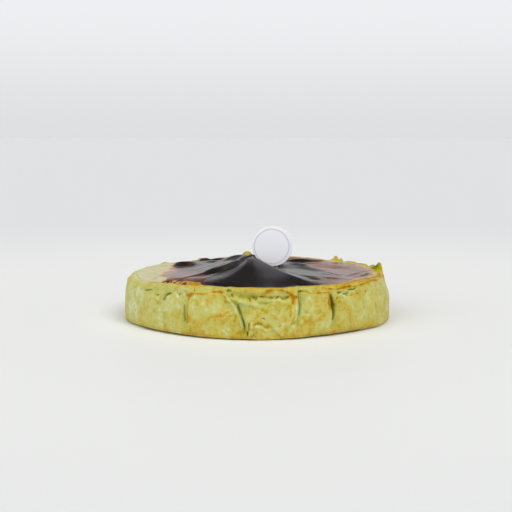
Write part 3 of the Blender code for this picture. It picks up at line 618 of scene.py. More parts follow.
def middle_of(path):
    """Bearing halfway between a path's ends."""
    return wrap(0.5 * (path[0][0] + path[0][0] + wrap(path[-1][0] - path[0][0])))


def columns():
    """Bearings of the mesh columns, closer together at the front and beside the folds."""
    fine = np.linspace(-180.0, 180.0, 7201)
    density = 1.0 + FRONT_DENSITY * np.cos(np.radians(fine))
    for path in tall_folds():
        density += FOLD_DENSITY * bell(wrap(fine - middle_of(path)), FOLD_SPAN)
    running = np.concatenate([[0.0], np.cumsum(0.5 * (density[1:] + density[:-1]))])
    return np.interp(np.arange(COLUMNS) / COLUMNS * running[-1], running, fine)


def follow(bearing, height):
    """Bearings of the columns at this height, slanted to run along the folds."""
    shift = np.zeros_like(bearing)
    for path in tall_folds():
        middle = middle_of(path)
        heights = [point[1] for point in path]
        turns = [wrap(point[0] - middle) for point in path]
        shift += np.interp(height, heights, turns) * bell(wrap(bearing - middle), FOLLOW_SPAN)
    return bearing + shift


def cake_rings():
    """Rings of points from the base's edge up the wall, over the shoulder and in to the peak."""
    foot = columns()
    bearing = follow(foot, RIM_HEIGHT)
    crest, width, drop, crag, thick = rim(bearing)
    standing = ease(crag / CRAG_FULL)
    width = width * (1.0 - standing) + CRAG_SHOULDER * standing
    drop = drop * (1.0 - standing) + CRAG_DROP * standing
    peak_line = crest + crag
    wall_top = peak_line - drop
    lift = round_table(foot, LIFT_BEARINGS, LIFTS)
    contact = RADIUS - round_table(foot, PLAN_BEARINGS, PLAN_INSETS) - FOOT_INSET
    rings = [ring(foot, contact, foot * 0.0)]
    bearings = [foot]
    for share in np.linspace(0.0, 1.0, WALL_ROWS - 1):
        height = lift + (wall_top - lift) * share
        slanted = follow(foot, height)
        rings.append(ring(slanted, wall_radius(slanted, height, crest), height))
        bearings.append(slanted)
    edge = wall_radius(bearing, wall_top, crest)
    for turn in np.linspace(0.0, 90.0, SHOULDER_ROWS + 1)[1:]:
        t = np.radians(turn)
        rings.append(ring(bearing, edge - width * (1.0 - np.cos(t)), wall_top + drop * np.sin(t)))
        bearings.append(bearing)
    crest_x, crest_y = rings[-1][:, 0], rings[-1][:, 1]
    top_at_crest = top_height(crest_x, crest_y)
    lip_run = thick * standing + (2.0 + 0.9 * width) * (1.0 - standing)
    for share in np.linspace(0.0, 1.0, TOP_ROWS + 1)[1:-1] ** TOP_CROWDING:
        x = crest_x + (PEAK[0] - crest_x) * share
        y = crest_y + (PEAK[1] - crest_y) * share
        inward = np.hypot(x - crest_x, y - crest_y)
        lip = (peak_line - top_at_crest) * np.exp(-inward / lip_run)
        rings.append(np.stack([x, y, top_height(x, y) + lip], axis=-1))
        bearings.append(bearing)
    return np.array(rings), np.array(bearings), crest


# ---- Colour masks ----
# Browned strokes on the wall: path of (bearing, height), half width in mm, strength.
BROWNED_STROKES = (
    (((-29.2, 25.2), (-28.6, 25.6), (-27.2, 25.8)), 1.5, 1.0),
    (((-28.4, 25.2), (-28.2, 24.0), (-28.5, 22.4)), 1.2, 0.85),
    (((-18.7, 13.0), (-14.1, 14.5), (-10.8, 16.9)), 1.4, 0.62),
    (((-10.8, 14.4), (-7.9, 15.0), (-9.0, 12.3)), 1.1, 0.7),
    (((-12.8, 22.8), (-10.6, 23.1)), 0.8, 0.9),
    (((-28.5, 22.4), (-28.4, 16.0), (-28.6, 10.0)), 0.9, 0.72),
    (((-24.0, 26.9), (-20.7, 27.3), (-18.6, 28.0), (-16.1, 28.2), (-12.9, 28.3)), 0.6, 0.62),
    (((-36.0, 29.8), (-28.0, 29.6), (-22.0, 29.9), (-14.0, 30.0)), 0.5, 0.55),
    (((14.0, 21.5), (13.2, 18.5), (13.0, 15.1)), 1.4, 0.66),
    (((4.3, 20.1), (5.7, 21.2), (7.1, 20.7)), 0.7, 0.62),
    (((9.9, 20.6), (11.3, 21.4)), 0.7, 0.5),
    (((5.4, 16.7), (7.1, 13.7)), 0.6, 0.6),
    (((9.0, 18.3), (8.2, 15.8), (7.3, 13.7)), 0.6, 0.66),
    (((14.9, 18.0), (14.4, 13.0), (13.8, 9.6)), 0.7, 0.5),
    (((-7.0, 30.0), (-2.0, 30.4), (3.0, 30.0)), 0.4, 0.5),
    (((16.6, 28.2), (17.8, 28.4), (19.5, 28.9), (21.0, 27.1), (24.6, 26.5)), 0.7, 0.7),
    (((24.6, 26.6), (27.3, 27.0), (31.4, 26.1)), 0.8, 0.9),
    (((30.4, 26.0), (30.6, 21.0), (30.7, 17.0)), 0.9, 0.85),
    (((27.3, 25.8), (27.4, 21.3)), 0.8, 0.52),
    (((25.0, 26.0), (24.6, 22.6)), 0.5, 0.3),
    (((30.1, 28.8), (33.0, 28.1), (36.5, 27.8), (38.7, 28.3)), 0.7, 0.85),
    (((38.7, 28.3), (40.3, 28.8), (43.2, 28.7), (45.7, 27.9)), 0.9, 1.05),
    (((45.7, 28.2), (50.0, 28.4), (56.0, 28.6)), 0.7, 0.6),
    (((33.5, 29.8), (38.0, 30.0), (45.5, 30.1), (60.0, 29.7), (74.0, 29.3)), 0.6, 0.75),
    (((17.0, 30.0), (24.0, 30.3), (31.0, 30.1)), 0.5, 0.6),
    (((56.4, 19.8), (57.0, 16.6)), 0.7, 0.5),
    (((64.0, 24.0), (64.6, 16.0)), 0.6, 0.4),
    (((69.4, 26.0), (70.0, 20.0), (69.8, 12.0)), 0.7, 0.45),
    (((74.6, 22.0), (75.0, 10.0)), 0.7, 0.4),
    (((52.0, 12.0), (52.4, 4.0)), 0.7, 0.4),
    (((76.0, 29.0), (90.0, 28.6), (120.0, 28.8), (165.0, 28.6)), 1.0, 0.9),
    (((-60.0, 28.0), (-54.0, 28.8), (-48.0, 29.2), (-40.0, 29.8)), 0.8, 0.5),
)
# Browned lips that stay sharp, likewise.
CRISP_STROKES = (
    (((3.7, 29.2), (5.9, 29.8), (7.9, 30.0), (9.6, 29.7), (11.3, 28.9), (13.0, 27.8), (14.8, 26.0)),
     0.8, 1.45),
    (((13.6, 27.0), (14.8, 26.0), (15.8, 25.4)), 1.0, 1.45),
    (((14.5, 25.3), (14.5, 23.6), (14.4, 21.7)), 1.4, 1.15),
    (((31.1, 26.0), (30.8, 22.0), (30.9, 17.0)), 1.2, 1.1),
    (((-29.0, 26.0), (-28.8, 23.0), (-29.0, 17.0), (-29.1, 9.0)), 1.1, 0.82),
    (((-29.1, 26.6), (-26.7, 26.6), (-22.4, 26.5), (-20.2, 27.4), (-17.1, 28.2), (-13.1, 28.4)), 0.7, 0.9),
    (((17.9, 28.6), (21.7, 27.0), (24.9, 26.5), (27.3, 26.9), (31.5, 26.0)), 0.6, 0.95),
    (((38.7, 28.7), (41.2, 28.6), (43.6, 28.3)), 0.8, 1.4),
    (((31.2, 28.4), (36.5, 27.8), (40.3, 28.8), (43.2, 28.8), (47.0, 28.0)), 0.6, 1.1),
    (((47.0, 28.4), (52.0, 29.0), (58.0, 29.6), (66.0, 29.8)), 0.6, 0.9),
    (((-14.4, 27.9), (-13.2, 26.4), (-12.4, 24.8), (-11.6, 23.2)), 0.7, 0.7),
    (((-10.4, 20.4), (-9.6, 18.2), (-8.8, 16.2)), 0.6, 0.5),
)
# Browned spots: bearing, height, radius, strength.
BROWNED_SPOTS = (
    (7.3, 13.0, 1.3, 0.75), (9.0, 9.3, 1.5, 0.66), (4.1, 8.0, 1.6, 0.92), (7.3, 19.6, 1.4, 0.45),
    (-0.2, 4.9, 1.4, 0.62), (19.8, 10.4, 1.4, 0.62), (17.8, 7.9, 2.0, 0.52), (11.4, 8.6, 1.2, 0.5),
    (18.9, 13.2, 1.4, 0.55), (27.4, 12.8, 1.6, 0.45), (36.4, 13.8, 1.6, 0.45),
    (37.7, 13.8, 1.3, 0.45), (61.9, 4.1, 1.1, 0.6), (56.8, 18.5, 1.2, 0.5), (48.3, 23.5, 1.5, 0.5),
    (51.1, 27.3, 1.3, 0.5), (46.0, 24.5, 1.6, 0.4), (-27.8, 25.0, 1.6, 0.9),
    (-11.3, 16.8, 1.2, 0.4), (-10.1, 14.5, 1.2, 0.42), (-13.7, 14.3, 2.2, 0.6), (-8.8, 11.6, 1.5, 0.6),
    (-17.0, 11.6, 2.8, 0.5), (-10.9, 13.3, 1.0, 0.4), (-9.3, 19.3, 1.0, 0.36), (-19.1, 12.7, 1.5, 0.42),
    (-20.7, 24.0, 1.8, 0.42),
    (-25.1, 20.3, 1.4, 0.36), (-16.8, 24.8, 1.6, 0.4), (-24.0, 15.2, 1.6, 0.3), (-56.5, 27.6, 1.5, 0.5),
    (-51.4, 19.8, 1.3, 0.48), (-67.4, 27.2, 1.8, 0.42), (-38.5, 25.8, 1.5, 0.35), (-33.0, 12.5, 1.6, 0.32),
    (-34.2, 6.6, 1.8, 0.3), (22.6, 13.6, 1.6, 0.36), (26.4, 15.6, 1.8, 0.4), (24.2, 9.4, 1.6, 0.36),
    (28.8, 8.0, 1.8, 0.34), (35.6, 17.0, 1.2, 0.34), (42.0, 16.6, 1.8, 0.3), (44.6, 9.0, 2.0, 0.32),
    (66.0, 9.0, 1.8, 0.42), (72.0, 16.0, 2.0, 0.42), (80.0, 12.0, 2.2, 0.42), (84.0, 20.0, 2.0, 0.42),
    (11.0, 20.6, 1.4, 0.46), (5.6, 20.4, 1.2, 0.34), (1.8, 3.0, 1.2, 0.34), (9.0, 3.6, 1.4, 0.34),
    (-5.4, 13.4, 1.0, 0.3), (-22.5, 5.6, 1.6, 0.3), (-17.2, 4.8, 1.4, 0.3),
    (137.4, 33.4, 2.0, 0.85), (133.9, 33.0, 1.5, 0.8),
)
# Deep yellow spots, where the crumb shows through, likewise.
YELLOW_SPOTS = (
    (2.3, 18.1, 1.2, 1.6), (3.6, 17.3, 1.3, 1.6), (0.4, 14.9, 1.1, 1.5), (12.6, 19.6, 1.4, 1.6),
    (11.7, 18.4, 1.1, 1.2), (0.4, 10.0, 1.1, 1.2), (-0.9, 9.4, 1.0, 1.1), (1.6, 9.5, 1.0, 1.1),
    (14.5, 10.3, 1.2, 1.4), (11.5, 6.2, 1.5, 1.6), (20.1, 16.2, 1.2, 1.0), (-27.2, 5.4, 1.5, 0.9),
    (-9.0, 8.7, 0.9, 1.1), (-9.3, 6.5, 0.9, 1.0), (-7.3, 4.8, 1.3, 1.3), (-5.9, 4.2, 1.0, 1.2),
    (-4.3, 5.3, 1.1, 1.2), (-2.6, 7.1, 0.9, 1.0), (-9.0, 2.6, 1.2, 0.8),
    (50.5, 15.3, 1.1, 0.8), (-9.4, 5.6, 1.0, 0.6), (35.2, 28.8, 0.8, 0.8), (-0.2, 9.9, 1.2, 0.6),
    (5.4, 5.4, 1.3, 0.55), (-1.4, 7.0, 0.9, 0.8), (22.0, 4.6, 1.3, 0.6), (27.6, 3.8, 1.4, 0.6),
    (-5.4, 6.6, 1.1, 0.8), (8.6, 12.0, 1.1, 0.45), (-4.6, 17.2, 1.1, 0.45), (40.6, 5.0, 1.6, 0.5),
    (47.0, 12.4, 1.2, 0.4), (-31.0, 3.4, 1.3, 0.55), (-14.6, 9.4, 1.2, 0.35), (59.6, 10.2, 1.2, 0.5),
    (33.2, 9.6, 1.2, 0.6), (17.6, 20.6, 1.0, 0.6), (17.5, 24.6, 0.9, 0.6), (5.2, 25.0, 1.3, 0.6),
)
# Pale spots, and painted glints where the wall catches the light, likewise.
PALE_AND_GLINT_SPOTS = (
    (-25.5, 24.7, 1.5, 0.6), (-26.4, 18.0, 1.8, 0.6), (-22.2, 20.9, 1.8, 0.7), (-16.1, 20.7, 2.0, 0.6),
    (-16.6, 16.5, 1.5, 0.7), (-13.7, 15.8, 1.0, 0.4), (-11.3, 10.3, 1.8, 0.5), (-20.3, 17.4, 1.8, 0.5),
    (-25.0, 12.3, 2.0, 0.4), (-5.8, 21.6, 1.3, 1.2), (-4.2, 21.2, 1.2, 1.1), (-1.9, 21.2, 1.0, 0.6),
    (-0.4, 20.0, 1.0, 0.7), (-2.1, 18.8, 2.0, 0.5), (-3.0, 14.4, 2.4, 0.5), (16.0, 23.7, 0.9, 0.7),
    (1.0, 20.6, 2.0, 0.4), (-3.8, 27.4, 1.6, 0.35), (4.6, 10.8, 1.2, 0.4),
    (16.0, 27.6, 0.8, 0.6), (15.6, 18.6, 0.8, 0.6), (15.0, 14.2, 0.8, 0.5), (21.5, 23.6, 2.6, 0.45),
    (22.2, 28.2, 1.2, 0.5), (24.2, 19.0, 2.2, 0.35), (31.7, 15.2, 0.9, 0.8), (31.8, 18.4, 0.8, 0.7),
    (31.5, 12.0, 0.8, 0.7), (-60.0, 14.0, 8.0, 0.35), (-66.0, 22.0, 6.0, 0.3), (-46.0, 24.6, 3.2, 0.45),
    (-39.0, 18.0, 4.0, 0.35), (-42.8, 6.4, 4.0, 0.25), (38.6, 22.4, 1.8, 0.5), (41.2, 20.2, 1.8, 0.4),
    (34.9, 21.6, 1.1, 0.5), (4.6, 6.6, 1.2, 0.45), (1.0, 7.8, 1.0, 0.45), (8.0, 4.8, 1.0, 0.55),
    (-2.0, 5.4, 0.9, 0.5), (37.0, 10.0, 2.4, 0.25), (55.0, 22.6, 2.0, 0.35), (62.0, 17.0, 2.6, 0.3),
    (-13.0, 26.0, 1.0, 0.5), (-11.6, 24.4, 0.9, 0.5), (-9.8, 21.6, 0.8, 0.5), (-8.6, 19.2, 0.8, 0.45),
)

# Hollows where the wall is greener: path, half width, strength.
GREEN_STROKES = (
    (((-11.6, 25.6), (-9.4, 22.0), (-7.6, 18.0), (-6.2, 13.4), (-5.0, 8.6)), 2.4, 0.75),
    (((-7.6, 24.0), (-5.6, 19.6), (-4.6, 15.0)), 3.2, 0.45),
    (((-12.6, 29.4), (-6.0, 28.2), (0.0, 27.4)), 1.4, 0.35),
    (((-30.4, 19.0), (-30.5, 12.0), (-30.6, 5.0)), 1.3, 0.8),
    (((-31.5, 24.0), (-30.6, 19.0)), 1.6, 0.4),
    (((17.4, 26.1), (17.8, 19.0), (17.2, 14.6), (16.0, 9.4)), 1.4, 0.95),
    (((20.2, 24.0), (19.8, 16.0)), 2.2, 0.3),
    (((32.6, 24.6), (33.6, 18.0), (33.3, 12.0), (32.2, 7.0)), 1.5, 0.95),
    (((34.6, 27.0), (39.0, 25.6), (46.0, 26.4)), 1.3, 0.5),
    (((-1.6, 25.4), (4.0, 25.4), (9.0, 25.2), (12.4, 25.0)), 1.0, 0.6),
    (((-3.6, 27.0), (-0.8, 24.4), (1.7, 22.8), (4.0, 22.6), (5.4, 23.2)), 1.5, 0.8),
    (((17.4, 26.6), (18.9, 26.7), (20.9, 26.3)), 0.8, 1.0),
    (((-57.0, 25.4), (-52.0, 26.2), (-47.0, 26.0)), 1.6, 0.55),
    (((-43.6, 21.0), (-41.4, 23.4), (-38.4, 25.2)), 1.6, 0.55),
    (((-44.0, 27.6), (-38.0, 28.0), (-32.0, 28.0)), 1.4, 0.45),
    (((-70.0, 26.6), (-62.0, 26.0), (-57.0, 25.4)), 1.6, 0.4),
    (((-3.9, 5.6), (-3.7, 2.0)), 0.8, 0.7),
    (((-26.4, 28.8), (-20.0, 29.2), (-14.0, 29.4)), 0.9, 0.35),
    (((18.0, 29.4), (24.0, 29.3), (30.0, 28.9)), 0.8, 0.4),
    (((74.0, 26.0), (75.0, 14.0)), 1.2, 0.3),
)
# Painted shade deep in the folds, likewise.
FOLD_SHADE_STROKES = (
    (((17.0, 27.0), (17.1, 24.3), (17.4, 21.3), (17.5, 18.4), (16.9, 15.0)), 0.8, 0.8),
    (((-7.7, 19.6), (-6.4, 15.9), (-4.9, 8.4)), 0.9, 0.85),
    (((-30.6, 19.0), (-30.8, 14.0), (-30.6, 9.5)), 0.7, 0.7),
    (((32.2, 24.6), (32.9, 21.4), (33.5, 18.1), (33.2, 14.7), (32.3, 10.8)), 1.1, 1.0),
)
# Pale lips of the folds, and painted glints on flap B and on the shelf under the trough, likewise.
PALE_AND_GLINT_STROKES = (
    (((-12.7, 28.1), (-11.8, 25.0), (-9.9, 22.4), (-8.5, 19.4)), 0.6, 1.0),
    (((-8.5, 19.4), (-7.0, 14.6), (-5.3, 7.5)), 0.6, 0.95),
    (((-13.2, 5.8), (-11.4, 2.8)), 0.5, 0.8),
    (((-11.4, 6.8), (-10.2, 3.3)), 0.5, 0.8),
    (((-13.2, 8.5), (-10.8, 6.9)), 0.5, 0.7),
    (((21.5, 24.8), (22.1, 22.0)), 0.6, 1.2),
    (((20.6, 23.5), (20.7, 21.9)), 0.5, 1.1),
    (((19.6, 14.7), (22.0, 14.1), (24.5, 13.6)), 0.5, 0.8),
    (((16.4, 28.0), (16.5, 23.6), (16.2, 19.0), (15.4, 14.2), (14.4, 8.6)), 1.0, 1.0),
    (((31.3, 19.0), (31.5, 15.0), (31.3, 11.0), (30.9, 7.4)), 0.8, 0.9),
    (((-7.0, 22.8), (-4.8, 21.8), (-2.8, 20.9), (-1.0, 20.2)), 1.0, 1.1),
    (((6.2, 7.3), (7.9, 5.1), (9.1, 2.9)), 0.6, 1.0),
    (((-1.3, 7.4), (0.1, 8.5), (2.3, 7.4)), 0.5, 0.9),
    (((15.9, 19.2), (15.1, 13.7), (14.1, 6.9)), 0.9, 0.8),
    (((-2.0, 9.8), (-2.0, 7.6), (-2.6, 5.2), (-3.0, 2.6)), 0.7, 0.7),
    (((0.6, 8.4), (2.4, 7.6), (4.0, 6.0)), 0.9, 0.6),
    (((4.4, 24.1), (7.0, 23.9), (9.4, 24.2)), 0.6, 0.6),
    (((-41.4, 21.6), (-40.2, 22.9), (-38.4, 23.7)), 0.7, 0.6),
    (((36.4, 24.3), (38.4, 23.5), (40.6, 23.9)), 0.6, 0.6),
    (((42.0, 25.6), (44.6, 25.6), (47.0, 26.2)), 0.6, 0.5),
)


def spots(bearing, height, table):
    """Strongest of a table's round spots at each point of the wall."""
    total = np.zeros_like(height)
    for spot_bearing, spot_height, size, strength in table:
        away = np.hypot(wrap(bearing - spot_bearing) * ARC, height - spot_height)
        total = np.maximum(total, strength * bell(away, size))
    return total


def strokes(bearing, height, table):
    """Strongest of a table's strokes along paths at each point of the wall."""
    total = np.zeros_like(height)
    for path, width, strength in table:
        near = np.abs(wrap(bearing - path[0][0])) < 15.0 + abs(wrap(path[-1][0] - path[0][0]))
        away = nearest(bearing[near], height[near], path)[0]
        total[near] = np.maximum(total[near], strength * bell(away, width))
    return total


def patched(x, y, table, uneven):
    """Strongest of a table's oval patches of the skin at each point of the plan."""
    total = np.zeros_like(x)
    for *shape, strength in table:
        total = np.maximum(total, strength * oval(x, y, *shape) * uneven)
    return np.clip(total, 0.0, 1.0)


def browned(bearing, height, place):
    """Browned strokes, folds and spots of the wall, 0 to 1."""
    patchy = np.clip(0.98 + 0.5 * rough(place, 5.0, 32), 0.5, 1.15)
    total = patchy * strokes(bearing, height, BROWNED_STROKES)
    total = np.maximum(total, spots(bearing, height, BROWNED_SPOTS))
    for path, side, *_ in BACK_FOLDS:
        offset, reach = upright(bearing, height, path)
        total = np.maximum(total, 0.75 * reach * bell(offset * side + 1.1, 1.2) * patchy)
    return total


def blurred(grid, passes):
    """The rings' grid smoothed along both of its directions."""
    out = grid.copy()
    for _ in range(passes):
        out = 0.5 * out + 0.25 * (np.roll(out, 1, axis=1) + np.roll(out, -1, axis=1))
        padded = np.concatenate([out[:1], out, out[-1:]])
        out = 0.5 * out + 0.25 * (padded[:-2] + padded[2:])
    return out


class Surface:
    """Where each point of the rings lies on the cheesecake."""

    def __init__(self, rings, bearings, crest):
        self.rings = rings
        self.x, self.y, self.z = rings[..., 0], rings[..., 1], rings[..., 2]
        self.bearing = wrap(bearings)
        crest_row = WALL_ROWS + SHOULDER_ROWS - 1
        self.inward = np.hypot(self.x - self.x[crest_row], self.y - self.y[crest_row])
        self.inward[:crest_row] *= -1.0
        self.shoulder = round_table(self.bearing, RIM_BEARINGS, SHOULDER_WIDTHS)
        crag, thick = crag_height(self.bearing)
        above = self.z - crest[None, :]
        self.on_crag = ease(crag / 0.9) * (1.0 - ease(self.inward / thick - 1.0))
        self.on_crag = self.on_crag * ease((above + 1.5) / 1.5)
        self.flake_tips = self.on_crag * self.within(131.0, 141.0, 1.0) * ease((above - 0.8) / 1.0)
        self.patchy = self.rough(9.0, 41) + 0.5 * self.rough(3.0, 42)

    def rough(self, size, seed, stretch=(1.0, 1.0, 1.0)):
        return rough(self.rings * stretch, size, seed)

    def within(self, start, end, soft):
        """1 between two bearings, falling to 0 over soft degrees outside them."""
        return window(self.bearing, start, end, soft)

    def skin_depth(self, run):
        """How far inside the ragged edge of the burnt skin a point lies."""
        depth = inside(self.x, self.y, BURNT_EDGE) + 2.0 * ease(run / 6.0) * self.patchy
        return np.minimum(depth, self.inward - 0.5)


def crust_edge(here):
    """The crumbling crust edge at the left front: its scorched slope, its golden lip and its burnt gaps."""
    offset, share = beside(here.x, here.y, CRUST_EDGE)
    flaked = window(share, 0.02, 0.97, 0.02) * ease((here.inward + 0.5) / 1.0)
    slope = flaked * window(offset, -9.0, -0.5, 3.0) * ease(1.0 + 2.2 * here.rough(7.0, 47, (0.7, 1.0, 1.0)))
    torn = ease((here.rough(1.7, 50, (0.28, 1.1, 1.0)) - 0.02) / 0.12)
    gaps = flaked * window(offset, -0.5, 3.0, 0.8) * torn
    lip = flaked * window(offset, 0.0, 2.8, 0.7) * np.clip(1.7 + 1.6 * here.rough(3.0, 48), 0.0, 1.0)
    return slope, lip * (1.0 - gaps), gaps


def reddened(here):
    """Reddish patches of the skin, and speckles near its left and right sides."""
    speckled = here.within(-130.0, -56.0, 10.0)
    speckled = speckled + here.within(56.0, 112.0, 10.0) * ease((here.x - 48.0) / 14.0)
    speckled = speckled * ease((here.rough(3.4, 49, (0.5, 1.0, 1.0)) - 0.08) / 0.3)
    return np.maximum(patched(here.x, here.y, RUSSET_PATCHES, 0.85 + 0.6 * here.patchy), 0.55 * speckled)


def burning(here, depth, run, russet, crust, crag_foot_shade):
    """How burnt the top is: 0 raw, 0.4 russet, 1 black."""
    black = inside(here.x, here.y, BLACK_EDGE) + 8.0 * here.patchy
    burn = 0.5 * ease(depth / run) * (1.0 + ease(0.5 + 0.5 * black / BLACK_SOFTNESS))
    # brown freckles along the skin's left edge
    freckles = bell(depth + 1.5, 7.0) * ease((here.rough(2.4, 38, (0.6, 1.0, 1.0)) - 0.12) / 0.3)
    freckles *= here.within(-125.0, -62.0, 12.0) * ease(here.inward / 6.0)
    burn = np.maximum(burn, 0.16 * freckles)
    # paler pinkish places, partly painted sheen
    blush_and_sheen = patched(here.x, here.y, BLUSH_AND_SHEEN_PATCHES, 0.7 + 0.8 * here.patchy)
    for patches, level_there in ((russet, RUSSET_BURN), (blush_and_sheen, BLUSH_AND_SHEEN_BURN)):
        burn += (level_there - burn) * patches * (burn > level_there)
    slope, lip, gaps = crust
    burn += (0.48 + 0.20 * here.rough(3.0, 52) - burn) * slope
    # at the right rear the skin starts sharply, with no brown border
    seared = here.within(154.0, 170.0, 3.0) * ease((0.36 - burn) / 0.12)
    # the crags, the golden lip and the painted shade at the tall crag's foot stay unburnt
    burn *= (1.0 - here.on_crag) * (1.0 - lip) * (1.0 - crag_foot_shade) * (1.0 - seared)
    return np.maximum(burn, 0.50 * gaps)


def golden_rim(here, depth):
    """The golden line along the edge of the skin."""
    # at the left front, round the right side and behind; wider at the right front and behind
    lined = here.within(-54.0, -26.0, 3.0) + here.within(28.0, 188.0, 8.0) + (here.bearing < -152.0)
    right = here.within(34.0, 76.0, 8.0)
    spread = 1.3 + 1.4 * right + 4.8 * window(abs(here.bearing), 142.0, 188.0, 8.0)
    strong = 1.0 + 0.5 * right + 0.9 * here.within(146.0, 176.0, 6.0)
    golden = lined * bell(depth + 0.7 * spread, spread) * ease((here.inward + 1.5) / 1.5)
    return golden * strong * (0.8 + 0.5 * here.rough(4.0, 39)) * (1.0 - here.on_crag)


def creamy(here, covered):
    """The cream-coloured unburnt top inside the rim, except where it is covered."""
    cream = ease(0.3 + 0.05 * here.shoulder + here.inward / (2.0 + here.shoulder))
    cream *= (1.0 - here.on_crag) * (1.0 - np.clip(covered, 0.0, 1.0))
    # little of it on the right side, none along the front
    cream *= (1.0 - 0.6 * here.within(60.0, 170.0, 12.0)) * (1.0 - here.within(-24.0, 60.0, 8.0))
    return cream * (0.78 + 0.5 * here.rough(6.0, 40))


def crease_shading(here, wall, sunk, pale_and_glint, crag_foot_shade):
    """How much painted shade a point takes in a crease, hole or fold, 0 to 1."""
    pits = np.clip(-marks(here.bearing, here.z), 0.0, 1.0)
    crease_shade = np.clip(sunk / FULLY_SUNK + pits, 0.0, 1.0) * wall
    # the painted shade is fainter on the pale places and painted glints, at the crack on the left, low in
    # the middle and behind
    crease_shade *= (1.0 - 0.7 * pale_and_glint) * (1.0 - 0.4 * here.within(-45.0, -36.0, 1.0))
    crease_shade *= 1.0 - 0.5 * here.within(-1.5, 12.0, 1.0) * ease((13.0 - here.z) / 2.0)
    crease_shade *= 1.0 - 0.45 * ease((np.abs(here.bearing) - 100.0) / 20.0)
    # painted shade also deep in the folds, in patches on the crags and at the tall crag's foot
    crease_shade = np.maximum(crease_shade, strokes(here.bearing, here.z, FOLD_SHADE_STROKES) * wall)
    crease_shade = np.maximum(crease_shade, 0.6 * here.on_crag * ease((here.rough(2.6, 46) - 0.10) / 0.25))
    return np.maximum(crease_shade, crag_foot_shade)


def baking(here, toast, pale_and_glint, crease_shade, ridge):
    """How browned the curd is: 0 light, 0.4 greenish yellow, 1 brown; the pale places and painted glints
    bring it down.
    """
    bake = 0.38 + 0.14 * here.rough(18.0, 43, (1.0, 1.0, 0.8)) + 0.12 * here.rough(7.0, 44)
    bake += 0.10 * here.rough(3.0, 45, (1.0, 1.0, 0.25))
    # browner in the middle of the front than at its left, and towards the foot
    bake += 0.10 * here.within(-28.0, 35.0, 14.0) - 0.08 * here.within(-110.0, -38.0, 14.0)
    foot = 0.20 + 0.10 * here.within(-75.0, -34.0, 12.0) - 0.12 * here.within(4.0, 24.0, 8.0)
    # browner on ridges, less browned in the painted crease shade, and much paler on the pale places and
    # painted glints
    bake += foot * ease(1.0 - here.z / 10.0) + 0.12 * ridge - 0.08 * crease_shade - 0.42 * pale_and_glint
    toasted = ease(toast / 0.3)
    bake = np.maximum(bake, 0.30 + 0.75 * toast) * toasted + bake * (1.0 - toasted)
    return np.clip(bake, 0.0, 1.0)


def yellowed(here, wandered, raised):
    """Deep yellow spots, the crags and the line along the front of the rim."""
    bearing = here.bearing + 0.6 * (wandered - here.bearing)
    height = here.z + 0.6 * (raised - here.z)
    yellow = np.clip(spots(bearing, height, YELLOW_SPOTS), 0.0, 1.0)
    yellow = np.maximum(yellow, here.on_crag * (1.0 - here.flake_tips) * ease(1.0 + here.rough(2.5, 37)))
    return np.maximum(yellow, 0.75 * bell(here.inward + 0.2, 1.0) * here.within(-30.0, 56.0, 8.0))


def masks(rings, bearings, crest):
    """Values 0 to 1 for every point of the rings: what the cheesecake's material is mixed by."""
    here = Surface(rings, bearings, crest)
    run = round_table(here.bearing, BROWNING_BEARINGS, BROWNING_RUNS)
    depth = here.skin_depth(run)
    # painted shade in the hollow at the foot of the tall crag
    crag_foot_shade = here.within(92.0, 101.0, 1.5) * window(here.inward, 1.0, 5.0, 0.8)
    crag_foot_shade = crag_foot_shade * ease(1.3 + 1.4 * here.patchy)
    crust = crust_edge(here)
    slope, lip, gaps = crust
    russet = reddened(here)
    burn = burning(here, depth, run, russet, crust, crag_foot_shade)
    golden = np.maximum(golden_rim(here, depth), lip)

    radius = np.hypot(here.x, here.y)
    smooth = blurred(radius, BLUR_PASSES)
    wall = 1.0 - ease((here.inward + 1.2) / 0.8)
    wall[:BASE_ROWS] = 0.0
    # pale places of the wall, and painted glints where it catches the light
    pale_and_glint = np.maximum(spots(here.bearing, here.z, PALE_AND_GLINT_SPOTS), strokes(here.bearing, here.z, PALE_AND_GLINT_STROKES))
    pale_and_glint = np.clip(pale_and_glint, 0.0, 1.0)
    # painted shade in the creases, holes and folds of the wall
    crease_shade = crease_shading(here, wall, smooth - radius, pale_and_glint, crag_foot_shade)
    ridge = np.clip((radius - smooth) / FULLY_RAISED, 0.0, 1.0) * wall

    wandered = here.bearing + (0.9 * here.rough(5.0, 33) + 0.4 * here.rough(2.0, 34)) / ARC
    raised = here.z + 0.9 * here.rough(5.0, 35) + 0.4 * here.rough(2.0, 36)
    crisp = strokes(here.bearing, here.z, CRISP_STROKES) * (0.95 + 0.35 * here.rough(3.0, 51))
    toast = np.maximum(browned(wandered, raised, rings), crisp) * (here.inward < 1.0)
    toast = np.clip(np.maximum(np.maximum(toast, golden), 0.6 * here.flake_tips), 0.0, 1.0)
    green = strokes(wandered, raised, GREEN_STROKES) * (1.0 - 0.8 * toast) * (1.0 - 0.8 * pale_and_glint) * wall
    dull = patched(here.x, here.y, DULL_PATCHES, 0.95 + 0.5 * here.patchy)
    for matt in (0.8 * russet, slope, gaps, ease(crease_shade / 0.5), here.on_crag, 0.85 * toast):
        dull = np.maximum(dull, matt)
    return {
        "burn": burn,
        "dull": dull,
        # painted sheen on the black skin round the peak
        "painted_sheen": patched(here.x, here.y, PAINTED_SHEEN_PATCHES, 0.9 + 0.4 * here.patchy),
        "bake": baking(here, toast, pale_and_glint, crease_shade, ridge),
        # painted shade of the creases, holes and folds
        "crease_shade": crease_shade,
        "green": green,
        "yellow": yellowed(here, wandered, raised),
        "cream": creamy(here, golden + crag_foot_shade),
    }


